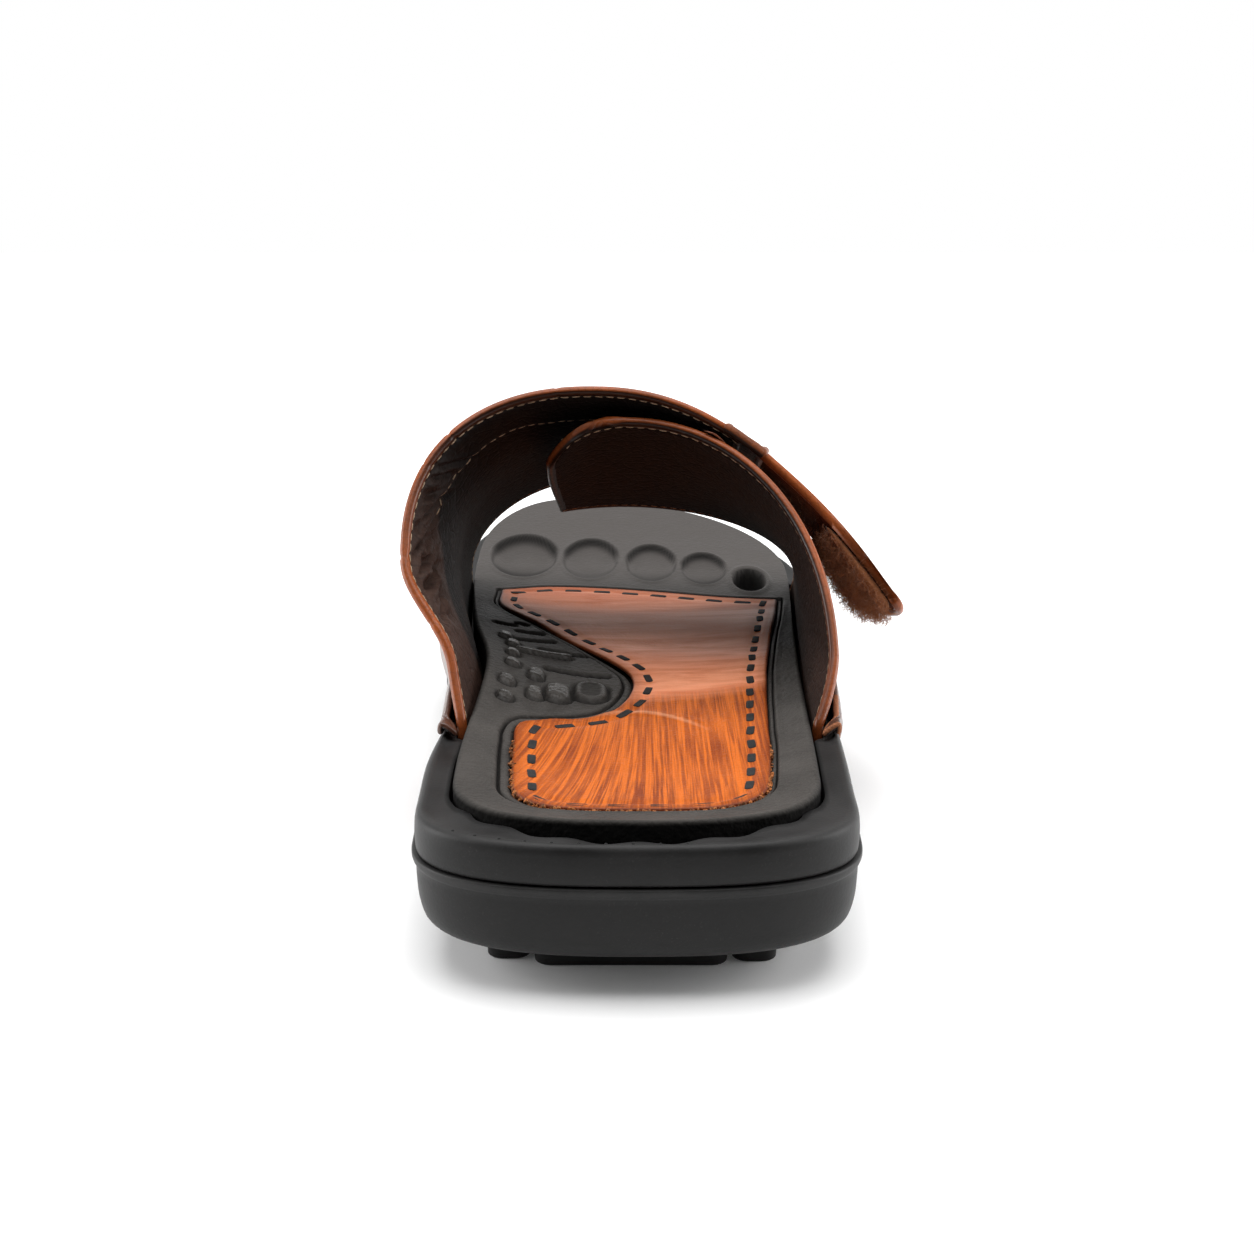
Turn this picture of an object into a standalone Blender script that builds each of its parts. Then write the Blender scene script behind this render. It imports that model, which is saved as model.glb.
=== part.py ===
"""Cross-strap slide sandal for the right foot, at its real size.

Shoe directions: y runs from the back of the heel to the toe, x to the lateral
(outer) side and z up from the floor. Side -1 is medial, side +1 is lateral.
The parent empty puts the middle of the heel tread at the world's origin.
"""

import math
from collections import namedtuple

import bmesh
import bpy
import numpy as np

MM = 0.001

# Driving sizes
LENGTH = 280 * MM
HEEL_REST_Y = 46 * MM
GAP = 0.3 * MM
STATIONS = 48

# Plan shape of the sole: round heel, and a toe tip that leans to the big toe
MEDIAL, LATERAL = -1, 1
HEEL_ROUND = 25 * MM
HEEL_POWER = 2.7
TOE_TIP_X = -22 * MM
TOE_START_Y = {MEDIAL: 220 * MM, LATERAL: 201 * MM}

# One row for each station along the foot. Half widths are those of the sole's side,
# the other columns are heights: underside, seam line, rim, footbed edges and seat.
Station = namedtuple("Station", "y medial lateral base seam rim medial_edge lateral_edge seat")
LAST = [
    Station(*(v * MM for v in row))
    for row in (
        (0, 42.0, 41.8, 7.3, 22.8, 30.8, 31.8, 31.8, 31.8),
        (22, 42.0, 41.8, 6.0, 22.4, 30.2, 31.6, 31.6, 28.8),
        (50, 43.0, 43.2, 5.2, 22.0, 29.8, 31.4, 31.4, 27.0),
        (100, 41.5, 45.4, 7.0, 20.6, 29.0, 36.5, 32.2, 29.2),
        (140, 48.0, 47.8, 5.2, 19.4, 29.0, 36.0, 33.2, 31.2),
        (185, 52.3, 50.8, 4.5, 18.6, 29.2, 35.2, 34.2, 33.2),
        (225, 53.4, 51.6, 6.6, 20.2, 31.6, 37.6, 36.8, 36.0),
        (280, 53.4, 51.6, 15.0, 27.0, 37.6, 42.6, 42.6, 42.6),
    )
]

# How far each outline stands inside the sole's side, at the sides, heel and toe,
# and how its heel is rounded
Inset = namedtuple("Inset", "side heel toe round power", defaults=(HEEL_ROUND, HEEL_POWER))
FOOTBED_INSET = Inset(6.4 * MM, 10.6 * MM, 4.6 * MM)
SOLE_INSET = Inset(0.0, 0.0, 0.0)

# Outsole: wall profile from the underside up to the moulded flange under the seam
WallRow = namedtuple("WallRow", "inset rise")
OUTSOLE_WALL = [
    WallRow(inset * MM, rise)
    for inset, rise in ((11.0, 0.0), (5.4, 0.06), (2.0, 0.24), (0.6, 0.5), (0.1, 0.78))
]
FLANGE_REACH = 1.0 * MM
FLANGE_DEPTH = 1.1 * MM

# Tread blocks: heel blocks in three columns, forefoot bars in rows
LUG_ROOT = 2.0 * MM
LugBlock = namedtuple("LugBlock", "left right rear front")
HEEL_LUGS = [
    LugBlock(*(v * MM for v in row))
    for row in (
        (-20.0, 17.5, 16.0, 76.0),
        (-29.0, -20.8, 18.8, 71.0),
        (17.9, 26.6, 17.6, 71.0),
    )
]
BAR_FIRST_Y, BAR_LAST_Y = 138 * MM, 206 * MM
BAR_COUNT, BAR_LENGTH, BAR_INSET = 6, 9.0 * MM, 12.0 * MM

# Midsole cup
RIM_ROUND = 1.0 * MM
FLOOR_RISE = 2.0 * MM
HEEL_GROOVE = 6.6 * MM
EDGE_GROOVE = 0.6 * MM
GROOVE_ROUND = 28 * MM
GROOVE_POWER = 2.0
STRAP_ZONE_Y = (56 * MM, 206 * MM)
STRAP_ZONE_BLEND = 6 * MM
COVER_REBATE = 1.2 * MM
COVER_ZONE_Y = (63 * MM, 197 * MM)
COVER_ZONE_BLEND = 3 * MM

# Footbed relief
FOOTBED_EDGE_ROUND = 1.0 * MM
FOOTBED_COLUMNS = 16
DISH_POWER = 2.4
Dish = namedtuple("Dish", "x y half_width half_length depth")
TOE_DISHES = [
    Dish(*(v * MM for v in row))
    for row in (
        (-33.0, 213.0, 9.8, 21.0, 1.6),
        (-13.0, 212.0, 8.2, 19.5, 1.5),
        (5.2, 208.0, 7.4, 18.0, 1.4),
        (20.6, 202.0, 6.5, 15.5, 1.4),
        (33.2, 189.0, 5.2, 12.5, 2.2),
    )
]

# Leather inlay of the footbed: a row for each change of its two long edges,
# and of its front edge. Along runs from heel to front, across from medial to lateral.
InlayRow = namedtuple("InlayRow", "along medial lateral")
INLAY = [
    InlayRow(along, medial * MM, lateral * MM)
    for along, medial, lateral in (
        (0.000, -23.4, 24.2),
        (0.060, -24.2, 25.4),
        (0.120, -24.9, 26.5),
        (0.240, -25.8, 28.0),
        (0.315, -25.0, 28.5),
        (0.340, -18.6, 28.8),
        (0.365, -10.6, 29.0),
        (0.392, -6.0, 29.3),
        (0.430, -3.0, 29.6),
        (0.475, -1.1, 30.1),
        (0.525, -0.6, 30.7),
        (0.575, -2.6, 31.3),
        (0.690, -13.2, 33.3),
        (0.780, -23.3, 35.0),
        (0.885, -35.4, 37.3),
        (1.000, -37.0, 39.3),
    )
]
InlayFront = namedtuple("InlayFront", "across y")
INLAY_FRONT = [
    InlayFront(across, y * MM)
    for across, y in (
        (0.00, 176.0),
        (0.16, 182.0),
        (0.36, 182.2),
        (0.58, 178.4),
        (0.80, 172.6),
        (1.00, 168.0),
    )
]
INLAY_REAR_Y = 23.4 * MM
INLAY_HEEL_ROUND = 12 * MM
INLAY_HEEL_POWER = 2.2
INLAY_HEEL_BLUNT = 0.5
INLAY_THICK = 1.5 * MM
RECESS_DEPTH = 1.8 * MM
INLAY_BED = 0.75 * MM
RECESS_MARGIN = 1.4 * MM
INLAY_LENGTHS, INLAY_WIDTHS = 32, 8

# Straps: each row is one cross-section, from the rear edge (share 0) to the front edge (1)
STRAP_THICK = 2.2 * MM
STRAP_SINK = 4.6 * MM
STRAP_FOOT_RISE = 0.6 * MM
LEG_POWER = 1.6
FLARE_PLACE = (0.34, 0.90)
FAR_POWER = 2.25
Section = namedtuple(
    "Section",
    "share foot_y girth_x girth_z crown_x crown_y crown_z end_x end_y end_z flare power",
)


def strap_table(rows):
    """Section rows in metres: the first column and the last two are plain numbers."""
    return [Section(row[0], *(v * MM for v in row[1:-2]), *row[-2:]) for row in rows]


MEDIAL_STRAP = strap_table(
    (
        (0.00, 66, 53.2, 65.4, -10, 115, 98.4, 26.0, 113.0, 86.4, 0.6, 2.28),
        (0.30, 106, 46.4, 57.0, -9, 132, 88.2, 25.6, 130.5, 79.6, 0.2, 2.15),
        (0.65, 148, 47.6, 46.0, -8, 153, 78.2, 25.2, 151.5, 71.8, 0.0, 2.05),
        (1.00, 190, 49.4, 36.0, -8, 172, 69.0, 25.0, 170.5, 63.2, 0.0, 1.95),
    )
)
LATERAL_STRAP = strap_table(
    (
        (0.00, 66, 44.6, 44.0, -2.5, 115, 91.1, -22.0, 118.0, 81.4, 0.0, 2.10),
        (0.45, 118, 43.9, 41.0, -2.5, 140, 78.0, -22.3, 141.0, 71.6, 0.0, 2.02),
        (1.00, 192, 48.0, 35.0, -3.0, 170, 62.7, -20.5, 168.0, 61.8, 0.0, 2.00),
    )
)
PIECE_STEPS = (1, 8, 12, 8)
STRAP_ROWS = 11

# Fastening where the straps cross, measured on the outer strap's far stretch
PAD_SPAN = (0.38, 0.80)
PAD_SHARES = (0.30, 0.80)
PAD_SINK = 0.6 * MM
PAD_THICK = 4.4 * MM

# Keeper over the strap's end, closing tab and its loop pile
KEEPER_OVERLAP = 4.6 * MM
KEEPER_WIDTH = 12.4 * MM
KEEPER_THICK = 1.7 * MM
TAB_SHARES = (0.0, 0.42)
TAB_THICK = 2.0 * MM
TAB_ROOT = 4.5 * MM
TAB_REACH_REAR = (35.5 * MM, -10.0 * MM, -39.6 * MM)
TAB_REACH_FRONT = (33.0 * MM, -6.0 * MM, -37.0 * MM)
TAB_END_ROUND = 0.14
PILE_SPAN = (0.52, 0.965)
PILE_MARGIN = 0.06
PILE_THICK = 2.2 * MM

# Leather covers over the rim beside each strap
COVER_TOP_RISE = 6.0 * MM
COVER_THICK = 1.2 * MM
COVER_BULGE = {MEDIAL: (1.6 * MM, 5.4 * MM), LATERAL: (2.0 * MM, 2.6 * MM)}
COVER_FOOT_REACH = 0.5 * MM
COVER_SWELL = 0.3
COVER_FOOT_RISE = 1.5 * MM
COVER_SHARES = (0.015, 0.985)

# Colours are linear RGB
Finish = namedtuple("Finish", "name colour roughness")
RUBBER = Finish("sole_rubber", (0.022, 0.022, 0.022), 0.62)
FOAM = Finish("footbed_foam", (0.030, 0.030, 0.030), 0.70)
TAN_LEATHER = Finish("tan_leather", (0.420, 0.120, 0.030), 0.40)
BROWN_LEATHER = Finish("brown_leather", (0.130, 0.036, 0.014), 0.42)
DARK_LEATHER = Finish("dark_leather", (0.060, 0.022, 0.012), 0.50)
PILE = Finish("loop_pile", (0.110, 0.050, 0.022), 0.95)


def smooth_step(t):
    """0 below t = 0, 1 above t = 1, with level ends."""
    t = min(1.0, max(0.0, t))
    return t * t * (3 - 2 * t)


def read_table(rows, key, column, at):
    """A column of a table at any place along its key, on a smooth curve through its rows."""
    keys = [getattr(row, key) for row in rows]
    values = [getattr(row, column) for row in rows]
    last = len(rows) - 1
    at = min(keys[-1], max(keys[0], at))
    i = min(last - 1, max(k for k in range(len(keys)) if keys[k] <= at))

    def slope(k):
        low, high = max(0, k - 1), min(last, k + 1)
        return (values[high] - values[low]) / (keys[high] - keys[low])

    span = keys[i + 1] - keys[i]
    t = (at - keys[i]) / span
    from_start = values[i] * (1 + 2 * t) * (1 - t) ** 2 + slope(i) * span * t * (1 - t) ** 2
    from_end = values[i + 1] * t * t * (3 - 2 * t) + slope(i + 1) * span * t * t * (t - 1)
    return from_start + from_end


def height(column, y):
    """A height of the last at a distance from the heel."""
    return read_table(LAST, "y", column, y)


def bow(t, power):
    """Quarter of a superellipse: 1 at t = 0, falling to 0 at t = 1."""
    return max(0.0, 1 - min(1.0, abs(t)) ** power) ** (1 / power)


def edge_x(side, y, inset):
    """Signed x of an outline on one side of the sole."""
    column = "lateral" if side == LATERAL else "medial"
    toe_y = LENGTH - inset.toe
    start = TOE_START_Y[side]
    half = height(column, min(y, start)) - inset.side
    if y < inset.heel + inset.round:
        half *= bow(1 - (y - inset.heel) / inset.round, inset.power)
    if y > start:
        tip = TOE_TIP_X * side
        half = tip + (half - tip) * bow((y - start) / (toe_y - start), 2)
    return side * half


def station_ys(inset):
    """Places along the foot, closer together at the round heel and toe."""
    start, end = inset.heel, LENGTH - inset.toe
    return [
        start + (end - start) * (1 - math.cos(math.pi * k / STATIONS)) / 2
        for k in range(STATIONS + 1)
    ]


def ring(inset, z_of_y):
    """An outline as its lateral and medial chains of points, heel to toe."""
    chains = []
    for side in (LATERAL, MEDIAL):
        chains.append([(edge_x(side, y, inset), y, z_of_y(y)) for y in station_ys(inset)])
    return chains


def within(zone, blend, y):
    """1 inside a stretch of the foot and 0 outside it, with soft ends."""
    return min(smooth_step((y - zone[0]) / blend), smooth_step((zone[1] - y) / blend))


def let_out(chains, widen):
    """An outline moved outwards by a distance that changes along the foot."""
    moved = []
    for side, chain in zip((LATERAL, MEDIAL), chains):
        moved.append([(x + side * widen(y), y, z) for x, y, z in chain])
    return moved


def rim_ring(z_of_y):
    """Inner outline of the rim: a groove outside the footbed, with slots for the straps."""
    groove = Inset(
        FOOTBED_INSET.side - EDGE_GROOVE,
        FOOTBED_INSET.heel - HEEL_GROOVE,
        FOOTBED_INSET.toe - EDGE_GROOVE,
        GROOVE_ROUND,
        GROOVE_POWER,
    )
    slot = STRAP_THICK + 2 * GAP - EDGE_GROOVE
    return let_out(ring(groove, z_of_y), lambda y: slot * within(STRAP_ZONE_Y, STRAP_ZONE_BLEND, y))


def wall_ring(inset, z_of_y):
    """Outer outline of the midsole, let in where the leather covers lie on it."""
    even = Inset(inset, inset, inset)
    return let_out(ring(even, z_of_y), lambda y: -COVER_REBATE * within(COVER_ZONE_Y, COVER_ZONE_BLEND, y))


def footbed_z(x, y):
    """Height of the footbed's upper face: a dish between its two edges, with toe hollows."""
    side = LATERAL if x >= 0 else MEDIAL
    edge = abs(edge_x(side, y, FOOTBED_INSET))
    rise = height("lateral_edge" if side == LATERAL else "medial_edge", y)
    seat = height("seat", y)
    share = min(1.0, abs(x) / edge) if edge > 0 else 1.0
    z = seat + (rise - seat) * share**DISH_POWER
    for dish in TOE_DISHES:
        reach = ((x - dish.x) / dish.half_width) ** 2 + ((y - dish.y) / dish.half_length) ** 2
        if reach < 1:
            z -= dish.depth * (1 - reach * reach)
    return z


class Assembly:
    """The sandal's collections and parent, and how a mesh becomes one of its pieces."""

    def __init__(self, name):
        for old in list(bpy.data.objects):
            bpy.data.objects.remove(old)
        self.parts = bpy.data.collections.new(name)
        self.cutters = bpy.data.collections.new(name + "_cutters")
        bpy.context.scene.collection.children.link(self.parts)
        bpy.context.scene.collection.children.link(self.cutters)
        self.root = bpy.data.objects.new(name + "_root", None)
        self.root.location = (0, -HEEL_REST_Y, 0)
        self.parts.objects.link(self.root)
        self.materials = {}

    def material(self, finish):
        if finish not in self.materials:
            made = bpy.data.materials.new(finish.name)
            made.use_nodes = True
            shader = made.node_tree.nodes["Principled BSDF"]
            shader.inputs["Base Color"].default_value = (*finish.colour, 1)
            shader.inputs["Roughness"].default_value = finish.roughness
            shader.inputs["Metallic"].default_value = 0.0
            self.materials[finish] = made
        return self.materials[finish]

    def add(self, name, bm, finish=None):
        """A piece of the sandal, or a cutter where it has no finish."""
        mesh = bpy.data.meshes.new(name)
        bm.to_mesh(mesh)
        bm.free()
        piece = bpy.data.objects.new(name, mesh)
        piece.parent = self.root
        if finish is None:
            self.cutters.objects.link(piece)
            piece.hide_render = True
            piece.display_type = "WIRE"
            return piece
        mesh.materials.append(self.material(finish))
        mesh.shade_smooth()
        mesh.set_sharp_from_angle(angle=math.radians(35))
        self.parts.objects.link(piece)
        return piece


def combine(piece, operation, *others):
    """Boolean modifiers that cut others from a piece, or join them to it."""
    for other in others:
        modifier = piece.modifiers.new(operation.lower() + "_" + other.name, "BOOLEAN")
        modifier.operation = operation
        modifier.object = other


def shell(piece, thickness):
    """A wall of even thickness behind an open surface whose faces point out."""
    modifier = piece.modifiers.new("wall", "SOLIDIFY")
    modifier.thickness = thickness
    modifier.offset = -1
    modifier.use_even_offset = True
    modifier.use_quality_normals = True


def loft(rings, top_z=None, columns=1):
    """A closed solid through outlines, from its underside to its last outline.
    top_z gives the height of the closing face where it isn't level across."""
    bm = bmesh.new()
    loops = []
    for right, left in rings:
        right_verts = [bm.verts.new(p) for p in right]
        left_verts = [bm.verts.new(p) for p in left[1:-1]]
        loops.append((right_verts, [right_verts[0], *left_verts, right_verts[-1]]))
    for (low_right, low_left), (high_right, high_left) in zip(loops, loops[1:]):
        for k in range(STATIONS):
            bm.faces.new((low_right[k], low_right[k + 1], high_right[k + 1], high_right[k]))
            bm.faces.new((low_left[k + 1], low_left[k], high_left[k], high_left[k + 1]))
    close_across(bm, *loops[0], -1, None, 1)
    close_across(bm, *loops[-1], 1, top_z, columns)
    return bm


def close_across(bm, right, left, facing, z_of, columns):
    """Closes an outline with strips from its lateral to its medial side."""
    strips = []
    for a, b in zip(right, left):
        inner = []
        for j in range(1, columns if a is not b else 1):
            x, y, z = a.co.lerp(b.co, j / columns)
            inner.append(bm.verts.new((x, y, z_of(x, y) if z_of else z)))
        strips.append([a, *inner, b])
    for near, far in zip(strips, strips[1:]):
        for j in range(columns):
            corners = [near[min(j, len(near) - 1)], far[min(j, len(far) - 1)]]
            corners += [far[min(j + 1, len(far) - 1)], near[min(j + 1, len(near) - 1)]]
            if len(near) == 2 and columns > 1:
                corners = [near[0], *corners[1:3]]
            if len(far) == 2 and columns > 1:
                corners = [corners[0], far[0], corners[3]]
            corners = list(dict.fromkeys(corners))
            bm.faces.new(corners if facing > 0 else corners[::-1])


def surface_grid(point_at, lengths, widths):
    """An open grid whose vertices are moved onto a surface of two shares, 0 to 1."""
    bm = bmesh.new()
    bmesh.ops.create_grid(bm, x_segments=lengths, y_segments=widths, size=0.5)
    for vert in bm.verts:
        vert.co = point_at(min(1.0, max(0.0, vert.co.x + 0.5)), min(1.0, max(0.0, vert.co.y + 0.5)))
    return bm


def box_block(bm, low, high):
    """A box between two corners, added to a mesh."""
    size = np.subtract(high, low)
    made = bmesh.ops.create_cube(bm, size=1.0)["verts"]
    bmesh.ops.scale(bm, vec=size, verts=made)
    bmesh.ops.translate(bm, vec=np.add(low, high) / 2, verts=made)


# Sole


def build_outsole(sandal):
    """Lower half of the sole, with its flange and the tread blocks it stands on."""

    def under_flange(y):
        return height("seam", y) - FLANGE_DEPTH - FLANGE_REACH

    rings = []
    for row in OUTSOLE_WALL:
        even = Inset(row.inset, row.inset, row.inset)
        rings.append(ring(even, lambda y, r=row.rise: height("base", y) * (1 - r) + under_flange(y) * r))
    out = Inset(-FLANGE_REACH, -FLANGE_REACH, -FLANGE_REACH)
    rings.append(ring(SOLE_INSET, under_flange))
    rings.append(ring(out, lambda y: height("seam", y) - FLANGE_DEPTH))
    rings.append(ring(out, lambda y: height("seam", y)))
    outsole = sandal.add("outsole", loft(rings), RUBBER)

    def block(name, left, right, rear, front):
        bm = bmesh.new()
        top = min(height("base", rear), height("base", front)) + LUG_ROOT
        box_block(bm, (left, rear, 0.0), (right, front, top))
        combine(outsole, "UNION", sandal.add(name, bm))

    for number, lug in enumerate(HEEL_LUGS):
        block("heel_lug_%d" % number, *lug)
    pitch = (BAR_LAST_Y - BAR_FIRST_Y - BAR_LENGTH) / (BAR_COUNT - 1)
    for number in range(BAR_COUNT):
        rear = BAR_FIRST_Y + number * pitch
        front = rear + BAR_LENGTH
        inset = Inset(BAR_INSET, BAR_INSET, BAR_INSET)
        left = max(edge_x(MEDIAL, y, inset) for y in (rear, front))
        right = min(edge_x(LATERAL, y, inset) for y in (rear, front))
        block("forefoot_bar_%d" % number, left, right, rear, front)


def build_midsole(sandal):
    """Upper half of the sole: a cup whose rim stands round the footbed."""
    rings = [
        wall_ring(0.0, lambda y: height("seam", y) + GAP),
        wall_ring(0.0, lambda y: height("rim", y) - 2.0 * RIM_ROUND),
        wall_ring(RIM_ROUND * 0.3, lambda y: height("rim", y) - 0.7 * RIM_ROUND),
        wall_ring(RIM_ROUND, lambda y: height("rim", y)),
        rim_ring(lambda y: height("rim", y)),
        rim_ring(lambda y: height("seam", y) + FLOOR_RISE),
    ]
    sandal.add("midsole", loft(rings), RUBBER)


def build_footbed(sandal):
    """Moulded insole with toe hollows and a recess for its leather."""
    edge = Inset(*(v + FOOTBED_EDGE_ROUND for v in FOOTBED_INSET[:3]))
    sides = []
    for inset, drop in ((FOOTBED_INSET, FOOTBED_EDGE_ROUND), (edge, 0.0)):
        chains = ring(inset, lambda y: 0.0)
        sides.append([[(x, y, footbed_z(x, y) - drop) for x, y, _ in chain] for chain in chains])
    underside = ring(FOOTBED_INSET, lambda y: height("seam", y) + FLOOR_RISE + GAP)
    footbed = sandal.add("footbed", loft([underside, *sides], footbed_z, FOOTBED_COLUMNS), FOAM)

    def recess_point(s, t):
        return inlay_point(s, 1 - t, RECESS_MARGIN, -RECESS_DEPTH)

    cutter = sandal.add("inlay_recess", surface_grid(recess_point, INLAY_LENGTHS, INLAY_WIDTHS))
    cutter.modifiers.new("depth", "SOLIDIFY").thickness = 6 * MM
    cutter.modifiers["depth"].offset = 1
    combine(footbed, "DIFFERENCE", cutter)


def inlay_plan(along, across):
    """Plan position on the inlay: along from heel to front, across from medial to lateral."""
    length = read_table(INLAY_FRONT, "across", "y", across) - INLAY_REAR_Y
    from_rear = length * along
    left = read_table(INLAY, "along", "medial", along)
    right = read_table(INLAY, "along", "lateral", along)
    if from_rear < INLAY_HEEL_ROUND:
        corner = bow(1 - from_rear / INLAY_HEEL_ROUND, INLAY_HEEL_POWER)
        left *= INLAY_HEEL_BLUNT + (1 - INLAY_HEEL_BLUNT) * corner
        right *= INLAY_HEEL_BLUNT + (1 - INLAY_HEEL_BLUNT) * corner
    return np.array((left + (right - left) * across, INLAY_REAR_Y + from_rear))


def inlay_point(along, across, margin, lift):
    """A point of the inlay's face, or of a like face let out by a margin, with lift above the footbed."""
    along = along * along * (2 - along) if along < 0.5 else 0.375 + (along - 0.5) * 1.25
    step = 0.004
    place = inlay_plan(along, across)
    for edge, share in ((0, 1 - across), (1, across)):
        run = inlay_plan(min(1.0, along + step), edge) - inlay_plan(max(0.0, along - step), edge)
        out = np.array((run[1], -run[0])) * (1 if edge else -1) / np.linalg.norm(run)
        place = place + out * margin * share
    x, y = place + np.array((0.0, margin * (2 * along - 1)))
    return x, y, footbed_z(x, y) + lift


def build_inlay(sandal):
    """Leather top of the footbed, cut round the arch."""
    lift = INLAY_THICK + INLAY_BED - RECESS_DEPTH
    grid = surface_grid(lambda s, t: inlay_point(s, 1 - t, 0.0, lift), INLAY_LENGTHS, INLAY_WIDTHS)
    shell(sandal.add("footbed_inlay", grid, TAN_LEATHER), INLAY_THICK)


# Upper


def strap_point(rows, side, piece_at, share):
    """A point of a strap's outer face. piece_at runs 0 to 4 through its foot, leg,
    shoulder and far stretch, and share runs from the rear edge to the front edge."""
    at = Section(*(read_table(rows, "share", column, share) for column in Section._fields))
    slot = STRAP_THICK + GAP
    foot_x = edge_x(side, at.foot_y, FOOTBED_INSET) + side * slot
    foot_z = height("rim", at.foot_y) + STRAP_FOOT_RISE
    girth_x = side * at.girth_x
    stretch = min(3, int(piece_at))
    t = piece_at - stretch
    if stretch == 0:
        return np.array((foot_x, at.foot_y, foot_z - STRAP_SINK * (1 - t)))
    if stretch == 1:
        flared = smooth_step((t - FLARE_PLACE[0]) / (FLARE_PLACE[1] - FLARE_PLACE[0]))
        lean = (1 - at.flare) * (1 - (1 - t) ** LEG_POWER) + at.flare * flared
        x = foot_x + (girth_x - foot_x) * lean
        z = foot_z + (at.girth_z - foot_z) * t
    elif stretch == 2:
        turn = t * math.pi / 2
        x = at.crown_x + (girth_x - at.crown_x) * math.cos(turn) ** (2 / at.power)
        z = at.girth_z + (at.crown_z - at.girth_z) * math.sin(turn) ** (2 / at.power)
    else:
        x = at.crown_x + (at.end_x - at.crown_x) * t
        y = at.crown_y + (at.end_y - at.crown_y) * t
        return np.array((x, y, at.crown_z - (at.crown_z - at.end_z) * t**FAR_POWER))
    y = at.foot_y + (at.crown_y - at.foot_y) * (z - foot_z) / (at.crown_z - foot_z)
    return np.array((x, y, z))


def strap_out(rows, side, piece_at, share):
    """The direction that a strap's outer face looks in."""
    step = 0.01
    along = strap_point(rows, side, min(3.999, piece_at + step), share)
    along = along - strap_point(rows, side, max(0.0, piece_at - step), share)
    across = strap_point(rows, side, piece_at, min(1.0, share + step))
    across = across - strap_point(rows, side, piece_at, max(0.0, share - step))
    out = np.cross(along, across) * -side
    return out / np.linalg.norm(out)


def place_at_height(rows, side, share, rise):
    """Where a strap's outer face is this far above the rim, between its foot and its crown."""
    low, high = 1.0, 3.0
    wanted = strap_point(rows, side, 1.0, share)[2] + rise
    for _ in range(24):
        middle = (low + high) / 2
        if strap_point(rows, side, middle, share)[2] < wanted:
            low = middle
        else:
            high = middle
    return low


def piece_places():
    """Places along a strap, each of its four stretches in its own number of steps."""
    places = [i + k / steps for i, steps in enumerate(PIECE_STEPS) for k in range(steps)]
    return [*places, 4.0]


def strap_grid(rows, side):
    """A strap's outer face, with its faces pointing away from the foot."""
    places = piece_places()

    def point_at(s, t):
        share = t if side == MEDIAL else 1 - t
        return strap_point(rows, side, places[round(s * (len(places) - 1))], share)

    return surface_grid(point_at, len(places) - 1, STRAP_ROWS)


def build_upper(sandal):
    """Two straps, fastened to each other where they cross."""
    upper = sandal.add("upper", strap_grid(MEDIAL_STRAP, MEDIAL), BROWN_LEATHER)
    shell(upper, STRAP_THICK)
    inner = sandal.add("lateral_strap", strap_grid(LATERAL_STRAP, LATERAL))
    shell(inner, STRAP_THICK)

    def pad_point(s, t):
        place = 3 + PAD_SPAN[0] + (PAD_SPAN[1] - PAD_SPAN[0]) * s
        share = PAD_SHARES[0] + (PAD_SHARES[1] - PAD_SHARES[0]) * t
        out = strap_out(MEDIAL_STRAP, MEDIAL, place, share)
        return strap_point(MEDIAL_STRAP, MEDIAL, place, share) - out * (STRAP_THICK - PAD_SINK)

    pad = sandal.add("crossing_pad", surface_grid(pad_point, 5, 6))
    shell(pad, PAD_THICK)
    combine(upper, "UNION", inner, pad)


def beyond_strap(distance, share):
    """A point on the outer strap's far stretch, or straight on from its end, by distance from that end."""
    end = strap_point(MEDIAL_STRAP, MEDIAL, 4.0, share)
    near = strap_point(MEDIAL_STRAP, MEDIAL, 3.8, share)
    run = end - near
    if distance < 0:
        return strap_point(MEDIAL_STRAP, MEDIAL, 4.0 + 0.2 * distance / np.linalg.norm(run), share)
    return end + run / np.linalg.norm(run) * distance


def tab_point(along, share):
    """A point of the closing tab's outer face, beyond the end of the outer strap."""
    part = (share - TAB_SHARES[0]) / (TAB_SHARES[1] - TAB_SHARES[0])
    reach = np.array(TAB_REACH_REAR) * (1 - part) + np.array(TAB_REACH_FRONT) * part
    corner = 1 - TAB_END_ROUND * (1 - bow(2 * part - 1, 3))
    return beyond_strap(TAB_ROOT, share) + reach * corner * along


def build_fastening(sandal):
    """Keeper over the strap's end, the closing tab and the loop pile under it."""
    first, last = TAB_SHARES
    width = last - first

    def keeper_point(s, t):
        base = beyond_strap(KEEPER_WIDTH * s - KEEPER_OVERLAP, t)
        return base + strap_out(MEDIAL_STRAP, MEDIAL, 3.99, t) * (GAP + KEEPER_THICK)

    keeper = sandal.add("strap_keeper", surface_grid(keeper_point, 5, STRAP_ROWS), DARK_LEATHER)
    shell(keeper, KEEPER_THICK)

    tab_grid = surface_grid(lambda s, t: tab_point(s, first + width * t), 10, 8)
    shell(sandal.add("closure_tab", tab_grid, BROWN_LEATHER), TAB_THICK)

    def pile_point(s, t):
        share = first + width * (PILE_MARGIN + (1 - 2 * PILE_MARGIN) * t)
        along = PILE_SPAN[0] + (PILE_SPAN[1] - PILE_SPAN[0]) * s
        step = 0.01
        run = tab_point(along, share) - tab_point(along - step, share)
        cross = tab_point(along, min(last, share + step)) - tab_point(along, max(first, share - step))
        out = np.cross(run, cross)
        out = out / np.linalg.norm(out)
        return tab_point(along, share) - out * (TAB_THICK + GAP)

    pile = sandal.add("loop_pile", surface_grid(pile_point, 8, 6), PILE)
    shell(pile, PILE_THICK)


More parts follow.
